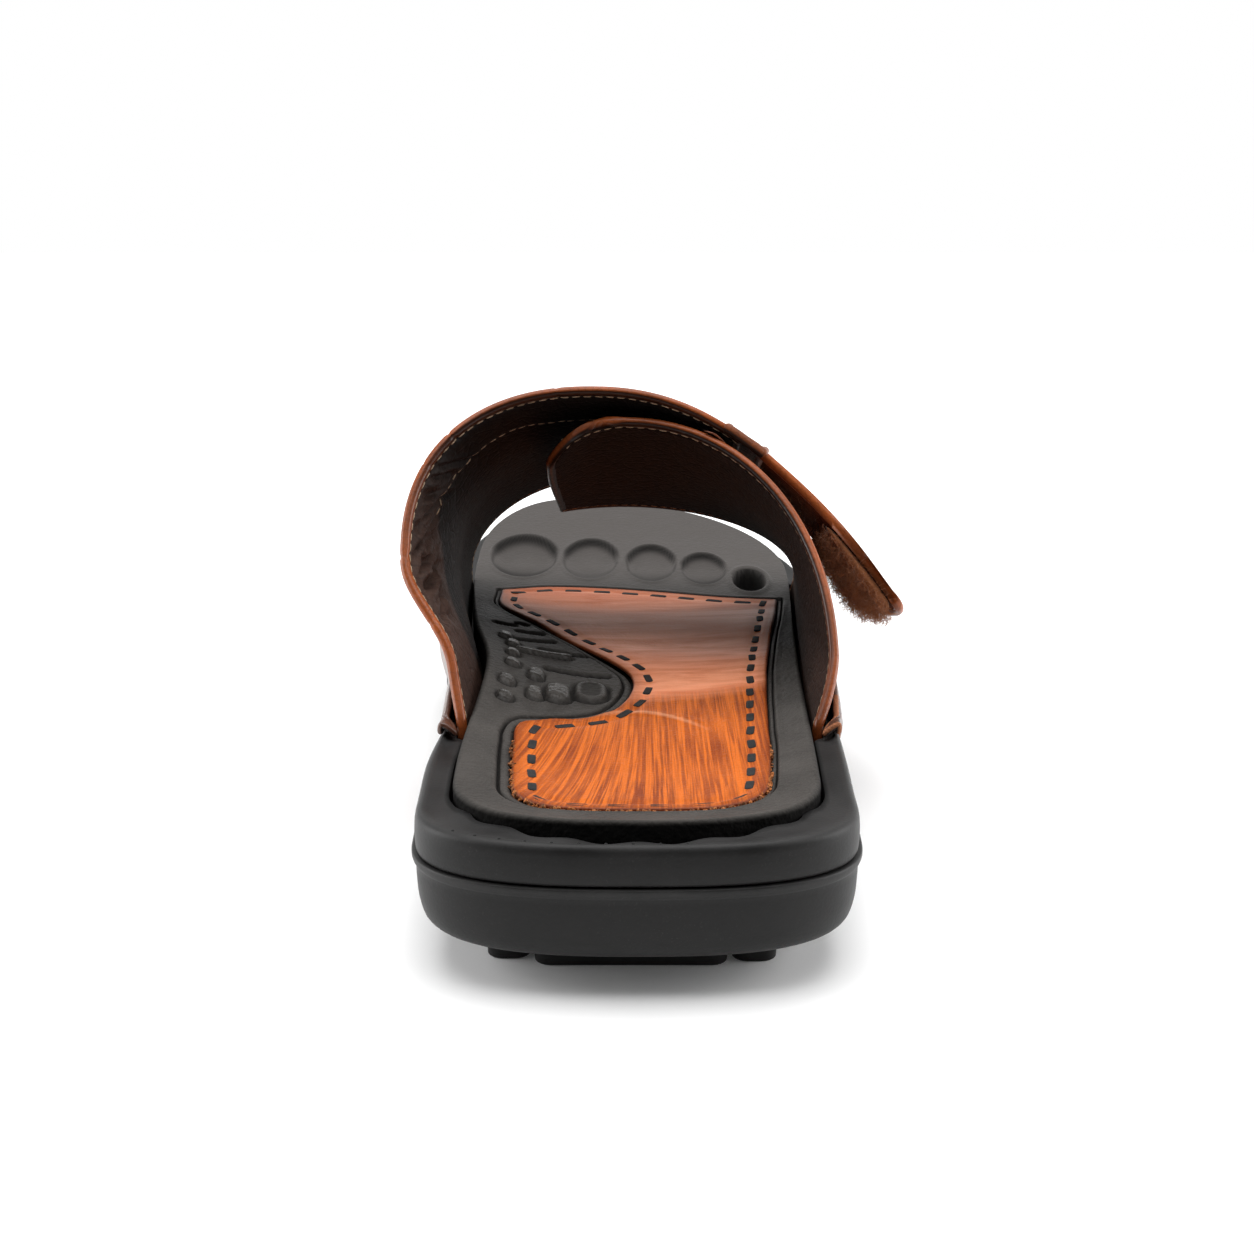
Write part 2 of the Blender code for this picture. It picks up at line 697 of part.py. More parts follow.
def build_side_cover(sandal, name, rows, side):
    """Leather that runs from a strap over the rim and down the midsole's side."""

    def cover_point(s, t):
        share = COVER_SHARES[0] + (COVER_SHARES[1] - COVER_SHARES[0]) * (t if side == MEDIAL else 1 - t)
        place = place_at_height(rows, side, share, COVER_TOP_RISE)
        top = strap_point(rows, side, place, share)
        top = top + strap_out(rows, side, place, share) * (GAP + COVER_THICK)
        wall = edge_x(side, top[1], SOLE_INSET)
        swell = smooth_step(share / COVER_SWELL)
        rear, full = COVER_BULGE[side]
        reach = rear + (full - rear) * swell
        bulge = np.array((wall + side * reach, top[1], height("rim", top[1]) + COVER_THICK))
        foot = np.array((wall + side * COVER_FOOT_REACH, top[1], height("seam", top[1]) + COVER_FOOT_RISE))
        rise = 1 - s
        return foot * rise**2 + bulge * 2 * rise * s + top * s**2

    cover = sandal.add(name, surface_grid(cover_point, 5, 20), DARK_LEATHER)
    shell(cover, COVER_THICK)


def main():
    sandal = Assembly("slide_sandal")
    build_outsole(sandal)
    build_midsole(sandal)
    build_footbed(sandal)
    build_inlay(sandal)
    build_upper(sandal)
    build_fastening(sandal)
    build_side_cover(sandal, "medial_side_cover", MEDIAL_STRAP, MEDIAL)
    build_side_cover(sandal, "lateral_side_cover", LATERAL_STRAP, LATERAL)


if __name__ == "__main__":
    main()
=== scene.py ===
"""Finished surfaces of a cross-strap slide sandal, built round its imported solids.

Shapes are worked out in millimetres in the shoe's own directions: y runs from the back of
the heel to the toe, x to the lateral (outer) side and z up from the floor. They become
metres, with the heel rest at the origin, when a mesh is made. Side -1 is medial, +1 lateral.
"""

import math
from collections import namedtuple

import bmesh
import bpy
import mathutils
import numpy as np
from bpy.props import FloatProperty, FloatVectorProperty, PointerProperty
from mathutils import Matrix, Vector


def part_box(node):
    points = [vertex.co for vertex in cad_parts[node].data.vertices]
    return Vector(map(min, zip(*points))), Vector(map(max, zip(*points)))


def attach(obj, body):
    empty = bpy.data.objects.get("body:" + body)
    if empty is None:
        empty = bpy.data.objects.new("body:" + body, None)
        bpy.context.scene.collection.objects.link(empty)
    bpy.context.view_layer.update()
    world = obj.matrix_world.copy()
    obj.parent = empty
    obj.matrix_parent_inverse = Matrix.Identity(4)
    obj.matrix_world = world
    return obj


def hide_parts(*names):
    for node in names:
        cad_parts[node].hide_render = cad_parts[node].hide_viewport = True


bl_info = {
    "name": "Slide Sandal Surfaces",
    "version": (1, 0, 0),
    "blender": (4, 5, 0),
    "location": "View3D > Sidebar > Sandal",
    "description": "Builds the finished surfaces of a cross-strap slide sandal on its solids",
    "category": "Object",
}

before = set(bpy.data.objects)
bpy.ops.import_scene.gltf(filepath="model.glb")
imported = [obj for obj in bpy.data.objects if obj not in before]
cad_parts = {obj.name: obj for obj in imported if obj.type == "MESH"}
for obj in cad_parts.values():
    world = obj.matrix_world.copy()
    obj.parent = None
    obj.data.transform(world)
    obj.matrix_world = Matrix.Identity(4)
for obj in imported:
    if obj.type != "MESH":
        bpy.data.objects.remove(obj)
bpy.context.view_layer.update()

MM = 0.001
MEDIAL, LATERAL = -1, 1
HEEL_BACK_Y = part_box("midsole")[0].y
LENGTH = round((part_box("midsole")[1].y - HEEL_BACK_Y) / MM, 2)
GAP = 0.3


class Table:
    """Rows of named columns, read on a smooth curve through the rows along the first column."""

    def __init__(self, columns, *rows):
        self.columns = dict(zip(columns.split(), np.array(rows, float).T))
        self.keys = next(iter(self.columns.values()))

    def read(self, column, at):
        keys = self.keys
        values = self.columns[column]
        number = np.arange(len(keys))
        low = np.maximum(number - 1, 0)
        high = np.minimum(number + 1, len(keys) - 1)
        slopes = (values[high] - values[low]) / (keys[high] - keys[low])
        at = np.clip(at, keys[0], keys[-1])
        i = np.clip(np.searchsorted(keys, at, side="right") - 1, 0, len(keys) - 2)
        span = keys[i + 1] - keys[i]
        t = (at - keys[i]) / span
        start = values[i] * (1 + 2 * t) * (1 - t) ** 2 + slopes[i] * span * t * (1 - t) ** 2
        end = values[i + 1] * t * t * (3 - 2 * t) + slopes[i + 1] * span * t * t * (t - 1)
        return start + end


# Last: half widths of the sole's side, then heights of the underside, the seam, the rim,
# the footbed's two edges and its seat
LAST = Table(
    "y medial lateral base seam rim medial_edge lateral_edge seat",
    (0, 42.0, 41.8, 7.3, 22.8, 30.8, 31.8, 31.8, 28.1),
    (22, 42.0, 41.8, 6.0, 22.4, 30.2, 31.6, 31.6, 28.1),
    (50, 43.0, 43.2, 5.2, 22.0, 29.8, 31.4, 31.4, 27.0),
    (100, 41.5, 45.4, 7.0, 20.6, 29.0, 36.5, 32.2, 29.2),
    (140, 48.0, 47.8, 5.2, 19.4, 29.0, 36.0, 33.2, 31.2),
    (185, 52.3, 50.8, 4.5, 18.6, 29.2, 35.2, 34.2, 33.2),
    (225, 53.4, 51.6, 6.6, 20.2, 31.6, 37.6, 36.8, 36.0),
    (280, 53.4, 51.6, 15.0, 27.0, 37.6, 42.6, 42.6, 42.6),
)
HEEL_ROUND = 25
HEEL_POWER = 2.7
TOE_TIP_X = -22
TOE_START_Y = {MEDIAL: 220, LATERAL: 201}
Inset = namedtuple("Inset", "side heel toe round power", defaults=(HEEL_ROUND, HEEL_POWER))
SOLE_INSET = Inset(0, 0, 0)
FOOTBED_INSET = Inset(6.4, 10.6, 4.6)
GROOVE_INSET = Inset(5.8, 4.0, 4.0, 28, 2.0)
SIDE_POINTS = 320

# Outsole wall from the underside up to its flange, and the flange from there to the seam
OUTSOLE_WALL = Table(
    "at inset rise",
    (0.00, 9.4, 0.00),
    (0.22, 4.4, 0.05),
    (0.45, 1.5, 0.22),
    (0.65, 0.4, 0.48),
    (0.85, 0.05, 0.78),
    (1.00, 0.0, 1.00),
)
FLANGE = ((0.00, 2.1), (0.40, 1.8), (0.80, 1.4), (1.00, 0.95), (1.00, 0.40), (0.85, 0.12), (0.50, 0.0))
HEEL_LUGS = ((-20.0, 17.5, 16.0, 76.0), (-29.2, -20.1, 18.8, 71.0), (17.6, 27.0, 17.6, 71.0))
LUG_ROOT = 2.0
BAR_FIRST_Y, BAR_LAST_Y = 138, 206
BAR_COUNT, BAR_LENGTH, BAR_INSET = 6, 9.0, 12.0

# Midsole: rolled rim, its inner bevel, and the slots and rebates of the straps and covers
RIM_ROLL = ((0.00, 2.0), (0.16, 1.05), (0.48, 0.45), (0.95, 0.12), (1.50, 0.0))
RIM_DROP = 1.2
FLOOR_RISE = 2.0
STRAP_ZONE_Y, STRAP_ZONE_BLEND = (63.5, 206), 2.5
COVER_ZONE_Y, COVER_ZONE_BLEND, COVER_REBATE = (68, 197), 4, 1.2
CUP_FOOT = ((0.6, 0.25, 0.0), (0.16, 0.45, 0.1), (0.0, 0.95, 0.1))
CUP_SWELL = 0.12
SLOT_SHARED = 0.6
GROOVE_FALL = ((0.15, 0.25), (0.45, 0.7), (0.9, 1.6), (1.0, 3.0))
SCALLOP_REACH, SCALLOP_FADE = 43, 8
PINHOLE_SPAN, PINHOLE_INSET, PINHOLE_PITCH, PINHOLE_SIZE = (-36, 9), 1.7, 4.6, (0.75, 0.75, 0.2)

# Footbed: dish, channel beside the inlay, toe hollows and moulded pebbles of the arch
DISH_POWER = 2.4
CHANNEL = (
    (-9.0, -1.50),
    (0.15, -1.50),
    (0.45, -1.05),
    (0.75, -0.62),
    (1.2, -0.42),
    (1.7, -0.38),
    (2.0, -0.50),
    (2.15, -0.90),
    (2.3, -1.50),
    (2.5, -1.50),
    (2.62, -0.70),
    (2.8, -0.15),
    (3.1, 0.08),
    (3.5, 0.18),
    (4.2, 0.10),
    (5.4, 0.0),
)
CRACK_PLACE, CRACK_WIDTH = 2.4, 0.3
FOOTBED_COUNTS = (60, 150, 150, 330)
FOOTBED_REAR_Y, FOOTBED_LATERAL_Y, FOOTBED_MEDIAL_Y = 13.4, 184, 199
FOOTBED_EDGE = (1.25, 0.95, 0.68, 0.44, 0.25, 0.11, 0.03, 0.0)
FOOTBED_FLOOR_Z = 25.3
# In a Dish, shade and lower are painted shade: the blackness of the whole dish, and how dark its near side
# is
Dish = namedtuple("Dish", "x y half_width half_length depth ring ring_reach shade lower")
TOE_DISHES = (
    Dish(-33.0, 213.0, 9.8, 21.0, 2.8, 0.35, 1.07, 0.0, 0.85),
    Dish(-13.0, 212.0, 8.2, 19.5, 2.1, 0.35, 1.07, 0.0, 0.40),
    Dish(5.2, 208.0, 7.4, 18.0, 2.0, 0.35, 1.07, 0.0, 0.55),
    Dish(20.6, 202.0, 6.5, 15.5, 2.1, 0.35, 1.08, 0.0, 0.75),
    Dish(33.2, 189.0, 4.6, 11.0, 9.0, 0.70, 1.22, 1.0, 1.0),
)
Pebble = namedtuple("Pebble", "x0 y0 x1 y1 radius rise")
ARCH_PEBBLES = (
    Pebble(-29.3, 82.0, -29.3, 83.0, 1.9, 1.1),
    Pebble(-23.0, 87.0, -23.0, 90.0, 2.0, 1.2),
    Pebble(-17.9, 89.4, -17.9, 93.6, 3.0, 1.5),
    Pebble(-10.4, 92.9, -10.4, 97.3, 3.8, 1.5),
    Pebble(-10.4, 92.9, -10.4, 97.3, 2.7, -0.6),
    Pebble(-29.5, 90.9, -29.5, 92.5, 1.9, 1.1),
    Pebble(-23.4, 99.0, -23.4, 102.4, 1.9, 1.2),
    Pebble(-29.0, 103.8, -29.0, 105.2, 1.8, 1.1),
    Pebble(-29.6, 112.2, -29.6, 113.6, 1.7, 1.1),
    Pebble(-28.0, 117.6, -16.7, 118.4, 1.5, 1.0),
    Pebble(-20.7, 107.6, -7.0, 106.9, 1.5, -1.4),
    Pebble(-30.2, 120.6, -30.2, 122.4, 1.7, 1.1),
    Pebble(-23.1, 122.8, -17.4, 122.3, 1.4, -1.4),
    Pebble(-15.4, 121.4, -11.7, 120.9, 1.3, -1.4),
    Pebble(-32.4, 126.8, -32.4, 128.4, 1.7, 1.1),
    Pebble(-29.1, 127.7, -21.0, 130.2, 1.4, -1.4),
    Pebble(-29.6, 135.5, -24.0, 135.9, 1.4, -1.4),
    Pebble(-35.6, 140.0, -31.5, 140.2, 1.4, -1.4),
    Pebble(-30.4, 143.0, -28.3, 142.2, 1.3, -1.4),
)

# Leather inlay of the footbed, cut round the arch
INLAY = Table(
    "along medial lateral",
    (0.000, -23.4, 24.2),
    (0.060, -24.2, 25.4),
    (0.120, -24.9, 26.5),
    (0.240, -25.8, 28.0),
    (0.315, -25.0, 28.5),
    (0.340, -18.6, 28.8),
    (0.365, -10.6, 29.0),
    (0.392, -6.0, 29.3),
    (0.430, -3.0, 29.6),
    (0.475, -1.1, 30.1),
    (0.525, -0.6, 30.7),
    (0.575, -2.6, 31.3),
    (0.690, -13.2, 33.3),
    (0.780, -23.3, 35.0),
    (0.885, -35.4, 37.3),
    (1.000, -37.0, 39.3),
)
INLAY_FRONT = Table(
    "across y",
    (0.00, 176.0),
    (0.16, 182.0),
    (0.36, 182.2),
    (0.58, 178.4),
    (0.80, 172.6),
    (1.00, 168.0),
)
INLAY_REAR_Y, INLAY_THICK, INLAY_LIFT = 23.4, 1.5, 0.45
INLAY_HEEL_ROUND, INLAY_HEEL_POWER, INLAY_HEEL_BLUNT = 12, 2.2, 0.5
INLAY_WAVES = ((113.0, 13.0, 0.45), (132.0, 8.0, -0.5), (150.0, 9.0, 0.35), (164.0, 6.0, -0.25))
INLAY_FOLD = Table(
    "x y",
    (-22, 71.5),
    (-14.7, 78.2),
    (-8, 81.0),
    (-3.6, 82.4),
    (5.4, 81.2),
    (14.5, 75.2),
)
INLAY_STEPS = (0, 0.06, 0.16, 0.3, 0.5, 0.8, 1.2, 1.8, 2.5, 3.2, 4.0, 4.8, 5.6)
INLAY_LENGTH, INLAY_BEAD = 152.0, 0.62
SEWN_INSET, SEWN_DIP, SEWN_WIDTH, SEWN_SINK = 3.8, 0.35, 1.3, 0.36
CRUMB_SIDE_POINTS = 260

# Straps: each row is one cross-section, from the rear edge (share 0) to the front edge (1)
STRAP_COLUMNS = "share foot_y girth_x girth_z crown_x crown_y crown_z end_x end_y end_z flare power"
Strap = namedtuple("Strap", "table side")
MEDIAL_STRAP = Strap(
    Table(
        STRAP_COLUMNS,
        (0.00, 66, 53.2, 65.4, -10, 115, 98.4, 26.0, 113.0, 86.4, 0.6, 2.28),
        (0.30, 106, 46.4, 57.0, -9, 132, 88.2, 25.6, 130.5, 79.6, 0.2, 2.15),
        (0.65, 148, 47.6, 46.0, -8, 153, 78.2, 25.2, 151.5, 71.8, 0.0, 2.05),
        (1.00, 190, 48.4, 36.0, -8, 172, 68.4, 25.0, 170.5, 62.8, 0.0, 1.95),
    ),
    MEDIAL,
)
LATERAL_STRAP = Strap(
    Table(
        STRAP_COLUMNS,
        (0.00, 66, 44.6, 44.0, -2.5, 115, 91.1, -22.0, 118.0, 81.4, 0.0, 2.10),
        (0.45, 118, 43.9, 41.0, -2.5, 140, 78.0, -22.3, 141.0, 71.6, 0.0, 2.02),
        (1.00, 192, 48.0, 35.0, -3.0, 170, 60.9, -20.5, 168.0, 59.8, 0.0, 2.00),
    ),
    LATERAL,
)
STRAP_THICK, STRAP_SINK, STRAP_FOOT_RISE = 2.2, 4.6, 0.6
LEG_POWER, FLARE_PLACE, FAR_POWER = 1.6, (0.34, 0.90), 2.25
EDGE_STEPS = (0, 0.1, 0.28, 0.52, 0.82, 1.15, 1.5, 1.85, 2.15, 2.4, 2.65, 2.9, 3.25, 3.8, 4.6, 5.6)
STITCH_STEP = 8
RUCK_ZONE, RUCK_BLEND, RUCK_DEPTH, RUCK_SIZE = (1.42, 2.52), 0.22, 0.42, 3.6
EDGE_NICKS = ((2.46, 0.5, 0.32), (2.30, 0.35, 0.2), (1.93, 0.5, 0.3), (1.55, 0.4, 0.2), (2.9, 0.5, 0.2))
STRETCH_ROWS = (3, 54, 116, 30)
FREE_END_ROUND = (0.17, 0.62)
Crease = namedtuple("Crease", "place share turn length width depth")
LINING_CREASES = (
    Crease(2.34, 0.085, 10, 9, 1.0, 0.45),
    Crease(2.28, 0.060, -25, 10, 1.1, 0.60),
    Crease(2.22, 0.095, 30, 8, 0.9, 0.50),
    Crease(2.18, 0.050, -10, 9, 1.2, 0.70),
    Crease(2.12, 0.085, 15, 11, 1.1, 0.60),
    Crease(2.06, 0.045, -20, 8, 1.0, 0.60),
    Crease(2.03, 0.090, 35, 9, 1.0, 0.55),
    Crease(1.98, 0.060, 5, 12, 1.3, 0.80),
    Crease(1.93, 0.100, -30, 9, 1.0, 0.50),
    Crease(1.90, 0.045, 15, 8, 1.2, 0.75),
    Crease(1.86, 0.080, -8, 13, 1.3, 0.85),
    Crease(1.81, 0.050, 20, 10, 1.1, 0.70),
    Crease(1.77, 0.090, -5, 14, 1.5, 0.95),
    Crease(1.71, 0.060, 12, 13, 1.4, 0.95),
    Crease(1.66, 0.095, -14, 12, 1.3, 0.75),
    Crease(1.60, 0.060, 8, 12, 1.4, 0.80),
    Crease(1.53, 0.080, -10, 11, 1.4, 0.60),
)
LINING_SEAM = Table(
    "place share",
    (1.20, 0.240),
    (1.31, 0.212),
    (1.46, 0.182),
    (1.59, 0.188),
    (1.73, 0.205),
    (1.89, 0.214),
    (2.02, 0.200),
    (2.08, 0.168),
    (2.15, 0.150),
    (2.23, 0.143),
    (2.31, 0.157),
    (2.42, 0.163),
    (2.55, 0.168),
    (2.70, 0.177),
    (2.86, 0.215),
    (3.30, 0.240),
)
SEAM_SEWN = (2.15, 3.10)

# Keeper over the strap's end, closing tab with its pile, and the covers over the rim
KEEPER_OVERLAP, KEEPER_WIDTH, KEEPER_THICK, KEEPER_LIFT, KEEPER_CROWN = 6.0, 12.4, 1.7, 0.85, 0.5
KEEPER_SKIVE, KEEPER_ROLL, KEEPER_DROP, KEEPER_BACK = 0.85, 0.07, 1.7, 1.5
TAB_SHARES, TAB_THICK, TAB_ROOT, TAB_END_ROUND = (0.0, 0.46), 2.0, 4.5, 0.14
TAB_REACH_REAR = np.array((35.2, -10.0, -37.6))
TAB_REACH_FRONT = np.array((32.8, -6.0, -35.2))
PILE_SPAN, PILE_MARGIN, PILE_THICK, PILE_SWELL = (0.50, 0.955), -0.02, 1.5, 1.0
KEEPER_SHREDS = (
    (((-10.0, -0.8, 1.6), (-8.0, -1.3, 1.2), (-5.8, -1.2, -0.4), (-4.4, -0.4, -2.6)), 0.5, 0.2),
    (((-3.8, 0.0, 0.4), (-1.4, -0.7, -1.2), (0.8, -0.5, -2.4), (2.4, 0.3, -2.6)), 0.7, 0.28),
    (((0.8, 0.3, -1.6), (2.0, -0.4, -2.8), (3.2, -0.3, -3.6), (4.4, 0.5, -5.0)), 0.6, 0.26),
)
COVER_TOP_RISE, COVER_THICK, COVER_FOOT_REACH, COVER_FOOT_RISE = 7.4, 1.3, 0.6, 1.5
COVER_BULGE = {MEDIAL: (1.6, 5.4), LATERAL: (2.0, 2.6)}
COVER_SWELL, COVER_SHARES, COVER_CLOSE = 0.3, (0.0, 0.985), 0.07
RAW_END_Y = 77.0
COVER_END_RISE, COVER_ARCH, COVER_TUCK = 2.0, 5.6, 3.0
COVER_LENGTH, COVER_HEIGHT, COVER_BEAD, COVER_EDGE = 118.0, 20.0, 0.72, 1.0
COVER_STEPS = (0, 0.07, 0.18, 0.34, 0.55, 0.8, 1.1, 1.5, 2.0, 2.8)
FASTENING_STEPS = (0, 0.08, 0.2, 0.38, 0.6, 0.85, 1.1, 1.4, 1.7, 2.1, 2.6, 3.4)
KEEPER_LENGTH, KEEPER_BEAD = 57.0, 1.25
TAB_LENGTH, TAB_WIDTH, TAB_BEAD = 53.0, 30.0, 1.15
TAB_CURL, TAB_CURL_WAY = 2.2, np.array((0.55, 0.1, 0.5))
PILE_BEAD = 0.75
EDGE_WIDTH = 2.0

# Seeds of the lining's rucks and of what is scattered: stitches, crumbs and strands
RUCK_SEED = 41
STITCH_SEED = 11
CRUMB_PLACE_SEED, CRUMB_SIZE_SEED, CRUMB_TURN_SEED = 21, 22, 23
STRAND_SIZE_SEED, STRAND_LEAN_SEED, PILE_SEED, STRAY_SEED = 32, 33, 31, 35

# Stage, in metres: floor, light round the shoe, lamps and camera
FLOOR_HALF, FLOOR_REAR_Y = 4.0, -0.17
SHOE_MIDDLE_Y, SHOE_SLIMNESS = 0.094, 0.4
FLOOR_GLOW = ((0.060, 0.105, 0.03, 0.28), (0.10, 0.34, 0.0, 0.30), (0.34, 0.9, 0.0, 0.42))
OVERHEAD_PLACE, OVERHEAD_SIZE = (0.0, 0.08, 0.95), 1.0
SIDE_LAMP_PLACE, SIDE_LAMP_SIZE = (0.9, 0.06, 0.34), 0.6
LAMP_AIM_Y = 0.08
CAMERA_PLACE, CAMERA_PITCH, CAMERA_SENSOR = (-0.002, -0.30588, 0.14034), 75, 36


# Curves and outlines


def smooth_step(t):
    """0 below t = 0, 1 above t = 1, with level ends."""
    t = np.clip(t, 0, 1)
    return t * t * (3 - 2 * t)


def bow(t, power):
    """Quarter of a superellipse: 1 at t = 0, falling to 0 at t = 1."""
    return np.maximum(0, 1 - np.minimum(1, np.abs(t)) ** power) ** (1 / power)


def hump(distance, width):
    """Soft bump, 1 in its middle and nearly 0 at twice its width."""
    return np.exp(-((distance / width) ** 2))


def within(zone, blend, y):
    """1 inside a stretch and 0 outside it, with soft ends."""
    return np.minimum(smooth_step((y - zone[0]) / blend), smooth_step((zone[1] - y) / blend))


def half_width(side, y, inset):
    """Width of one side of the sole with the toe's curve, but without the heel's."""
    column = "lateral" if side == LATERAL else "medial"
    start = TOE_START_Y[side]
    half = LAST.read(column, np.minimum(y, start)) - inset.side
    tip = TOE_TIP_X * side
    toe = tip + (half - tip) * bow((y - start) / (LENGTH - inset.toe - start), 2)
    return np.where(y > start, toe, half)


def edge_x(side, y, inset):
    """Signed x of an outline on one side of the sole."""
    half = half_width(side, y, inset)
    heel = bow(1 - (y - inset.heel) / inset.round, inset.power)
    return side * np.where(y < inset.heel + inset.round, half * heel, half)


def run_lengths(points, axis=0):
    """Distance travelled along points, from the first one."""
    steps = np.linalg.norm(np.diff(points, axis=axis), axis=-1)
    start = np.zeros_like(np.take(steps, [0], axis=axis))
    return np.concatenate((start, np.cumsum(steps, axis=axis)), axis=axis)


def resample(points, count):
    """Evenly spaced points along a run of points, with one more point than steps."""
    run = run_lengths(points)
    at = np.linspace(0, run[-1], count + 1)
    return np.stack([np.interp(at, run, column) for column in points.T], axis=1)


def side_run(side, inset):
    """Closely spaced points of one side of an outline, from the heel's back to the toe tip."""
    turn = np.linspace(0, math.pi, 1601)
    y = inset.heel + (LENGTH - inset.toe - inset.heel) * (1 - np.cos(turn)) / 2
    return np.stack((edge_x(side, y, inset), y), axis=1)


def outline(inset):
    """A sole outline as one loop: heel, lateral side, toe, medial side."""
    right = resample(side_run(LATERAL, inset), SIDE_POINTS)
    left = resample(side_run(MEDIAL, inset), SIDE_POINTS)
    return np.concatenate((right, left[-2:0:-1]))


def loop_out(loop):
    """Directions that point out of a loop, level with the floor."""
    run = np.roll(loop, -1, axis=0) - np.roll(loop, 1, axis=0)
    out = np.stack((run[:, 1], -run[:, 0]), axis=1)
    return out / np.linalg.norm(out, axis=1, keepdims=True)


def pushed(loop, distance):
    """A loop moved outwards by a distance, which may change from point to point."""
    return loop + loop_out(loop) * np.broadcast_to(distance, len(loop))[:, None]


def let_out(loop, amount):
    """A loop's two sides moved apart by an amount for each point."""
    moved = loop.copy()
    moved[:, 0] += np.sign(loop[:, 0]) * amount
    return moved


def raised(loop, z):
    """A loop with its heights."""
    return np.column_stack((loop, np.broadcast_to(z, len(loop))))


def loop_offsets(loop):
    """Signed distance of each point of a loop from its first point, the heel's middle."""
    run = run_lengths(np.concatenate((loop, loop[:1])))
    return np.where(run[:-1] > run[-1] / 2, run[:-1] - run[-1], run[:-1])


# Surfaces of the last


def footbed_dish(x, y):
    """Height of the footbed between its edges, without its moulded relief."""
    lateral = x >= 0
    widths = [half_width(side, y, FOOTBED_INSET) for side in (LATERAL, MEDIAL)]
    half = np.where(lateral, *widths)
    rise = np.where(lateral, LAST.read("lateral_edge", y), LAST.read("medial_edge", y))
    seat = LAST.read("seat", y)
    back = np.clip(1 - (y - FOOTBED_INSET.heel) / FOOTBED_INSET.round, 0, 1)
    side = np.minimum(1, np.abs(x) / np.maximum(half, 1e-6))
    share = np.minimum(1, (side**HEEL_POWER + back**HEEL_POWER) ** (1 / HEEL_POWER))
    return seat + (rise - seat) * share**DISH_POWER


def toe_relief(x, y):
    """Hollows under the toes, each with a thin raised ring, and their painted shade: dark inside, darkest
    on the near side, with a thin dark line along the rim.
    """
    z = np.zeros_like(x)
    shade = np.zeros_like(x)
    for dish in TOE_DISHES:
        reach = np.hypot((x - dish.x) / dish.half_width, (y - dish.y) / dish.half_length)
        near = (dish.y - y) / dish.half_length
        steep = 7 - 4.6 * smooth_step((near + 0.3) / 0.8) * (1 - dish.shade)
        z -= dish.depth * np.maximum(0, 1 - reach**steep) * (reach < 1)
        z += dish.ring * hump(reach - dish.ring_reach, 0.05 + 0.1 * dish.shade)
        # painted shade inside each dish: darker towards its near side, and all black where the dish's shade
        # is 1
        dark = np.maximum(dish.shade, dish.lower * smooth_step((near + 0.05) / 0.95))
        dark = dark * smooth_step((1.03 - reach) / 0.1)
        # painted shade along the rim: a thin dark line, darker on the far side
        far_side = smooth_step(-near / 0.5)
        rim = (0.45 + 0.5 * far_side) * hump(reach - 0.97, 0.05 + 0.06 * far_side)
        shade = np.maximum(shade, np.maximum(dark, rim))
    return z, shade


def arch_relief(x, y):
    """Moulded pebbles and slots of the arch, the painted shade in the moats round the pebbles and inside
    the slots, and how polished they are.
    """
    z = np.zeros_like(x)
    shade = np.zeros_like(x)
    polish = np.zeros_like(x)
    for pebble in ARCH_PEBBLES:
        run = np.array((pebble.x1 - pebble.x0, pebble.y1 - pebble.y0))
        along = ((x - pebble.x0) * run[0] + (y - pebble.y0) * run[1]) / (run @ run)
        along = np.clip(along, 0, 1)
        reach = np.hypot(x - pebble.x0 - run[0] * along, y - pebble.y0 - run[1] * along) / pebble.radius
        if pebble.rise > 0:
            z += pebble.rise * np.maximum(0, 1 - reach**2.4) ** 0.55 * (reach < 1)
            z -= 0.4 * pebble.rise * hump(reach - 1.12, 0.16)
            # painted shade in the moat round each pebble
            shade = np.maximum(shade, 0.85 * hump(reach - 1.1, 0.14))
            polish = np.maximum(polish, smooth_step((1.0 - reach) / 0.3))
        else:
            z += pebble.rise * np.maximum(0, 1 - reach**4) * (reach < 1)
            # painted shade inside each slot, near black in the deeper ones
            deep = 0.95 if pebble.rise < -1 else 0.4
            shade = np.maximum(shade, deep * smooth_step((1.0 - reach) / 0.3))
            polish *= 1 - smooth_step((1.1 - reach) / 0.3)
    return z, shade, polish


def inlay_plan(along, across):
    """Plan position on the inlay: along from heel to front, across from medial to lateral."""
    from_rear = (INLAY_FRONT.read("y", across) - INLAY_REAR_Y) * along
    corner = bow(np.clip(1 - from_rear / INLAY_HEEL_ROUND, 0, 1), INLAY_HEEL_POWER)
    width = INLAY_HEEL_BLUNT + (1 - INLAY_HEEL_BLUNT) * corner
    left = INLAY.read("medial", along) * width
    right = INLAY.read("lateral", along) * width
    return np.stack((left + (right - left) * across, INLAY_REAR_Y + from_rear), axis=-1)


def inlay_sides():
    """The inlay's rear, lateral, front and medial edges as runs of points, counter-clockwise."""
    share = np.linspace(0, 1, 801)
    fine = share**2 * (2 - share) * 0.5 + share * 0.5
    return (
        inlay_plan(np.zeros(801), share),
        inlay_plan(fine, np.ones(801)),
        inlay_plan(np.ones(801), share[::-1]),
        inlay_plan(fine[::-1], np.zeros(801)),
    )


def inlay_loop():
    """The inlay's outline as one loop of points."""
    return np.concatenate([resample(run, 90)[:-1] for run in inlay_sides()])


def loop_distance(points, loop):
    """Distance of points from a loop, negative inside it."""
    best = np.full(len(points), 1e9)
    inside = np.zeros(len(points), bool)
    for start, end in zip(loop, np.roll(loop, -1, axis=0)):
        run = end - start
        offset = points - start
        along = np.clip(offset @ run / (run @ run), 0, 1)
        best = np.minimum(best, np.hypot(*(offset - along[:, None] * run).T))
        crosses = (start[1] > points[:, 1]) != (end[1] > points[:, 1])
        if crosses.any():
            at_x = start[0] + run[0] * (points[:, 1] - start[1]) / (run[1] or 1e-9)
            inside ^= crosses & (points[:, 0] < at_x)
    return np.where(inside, -best, best)


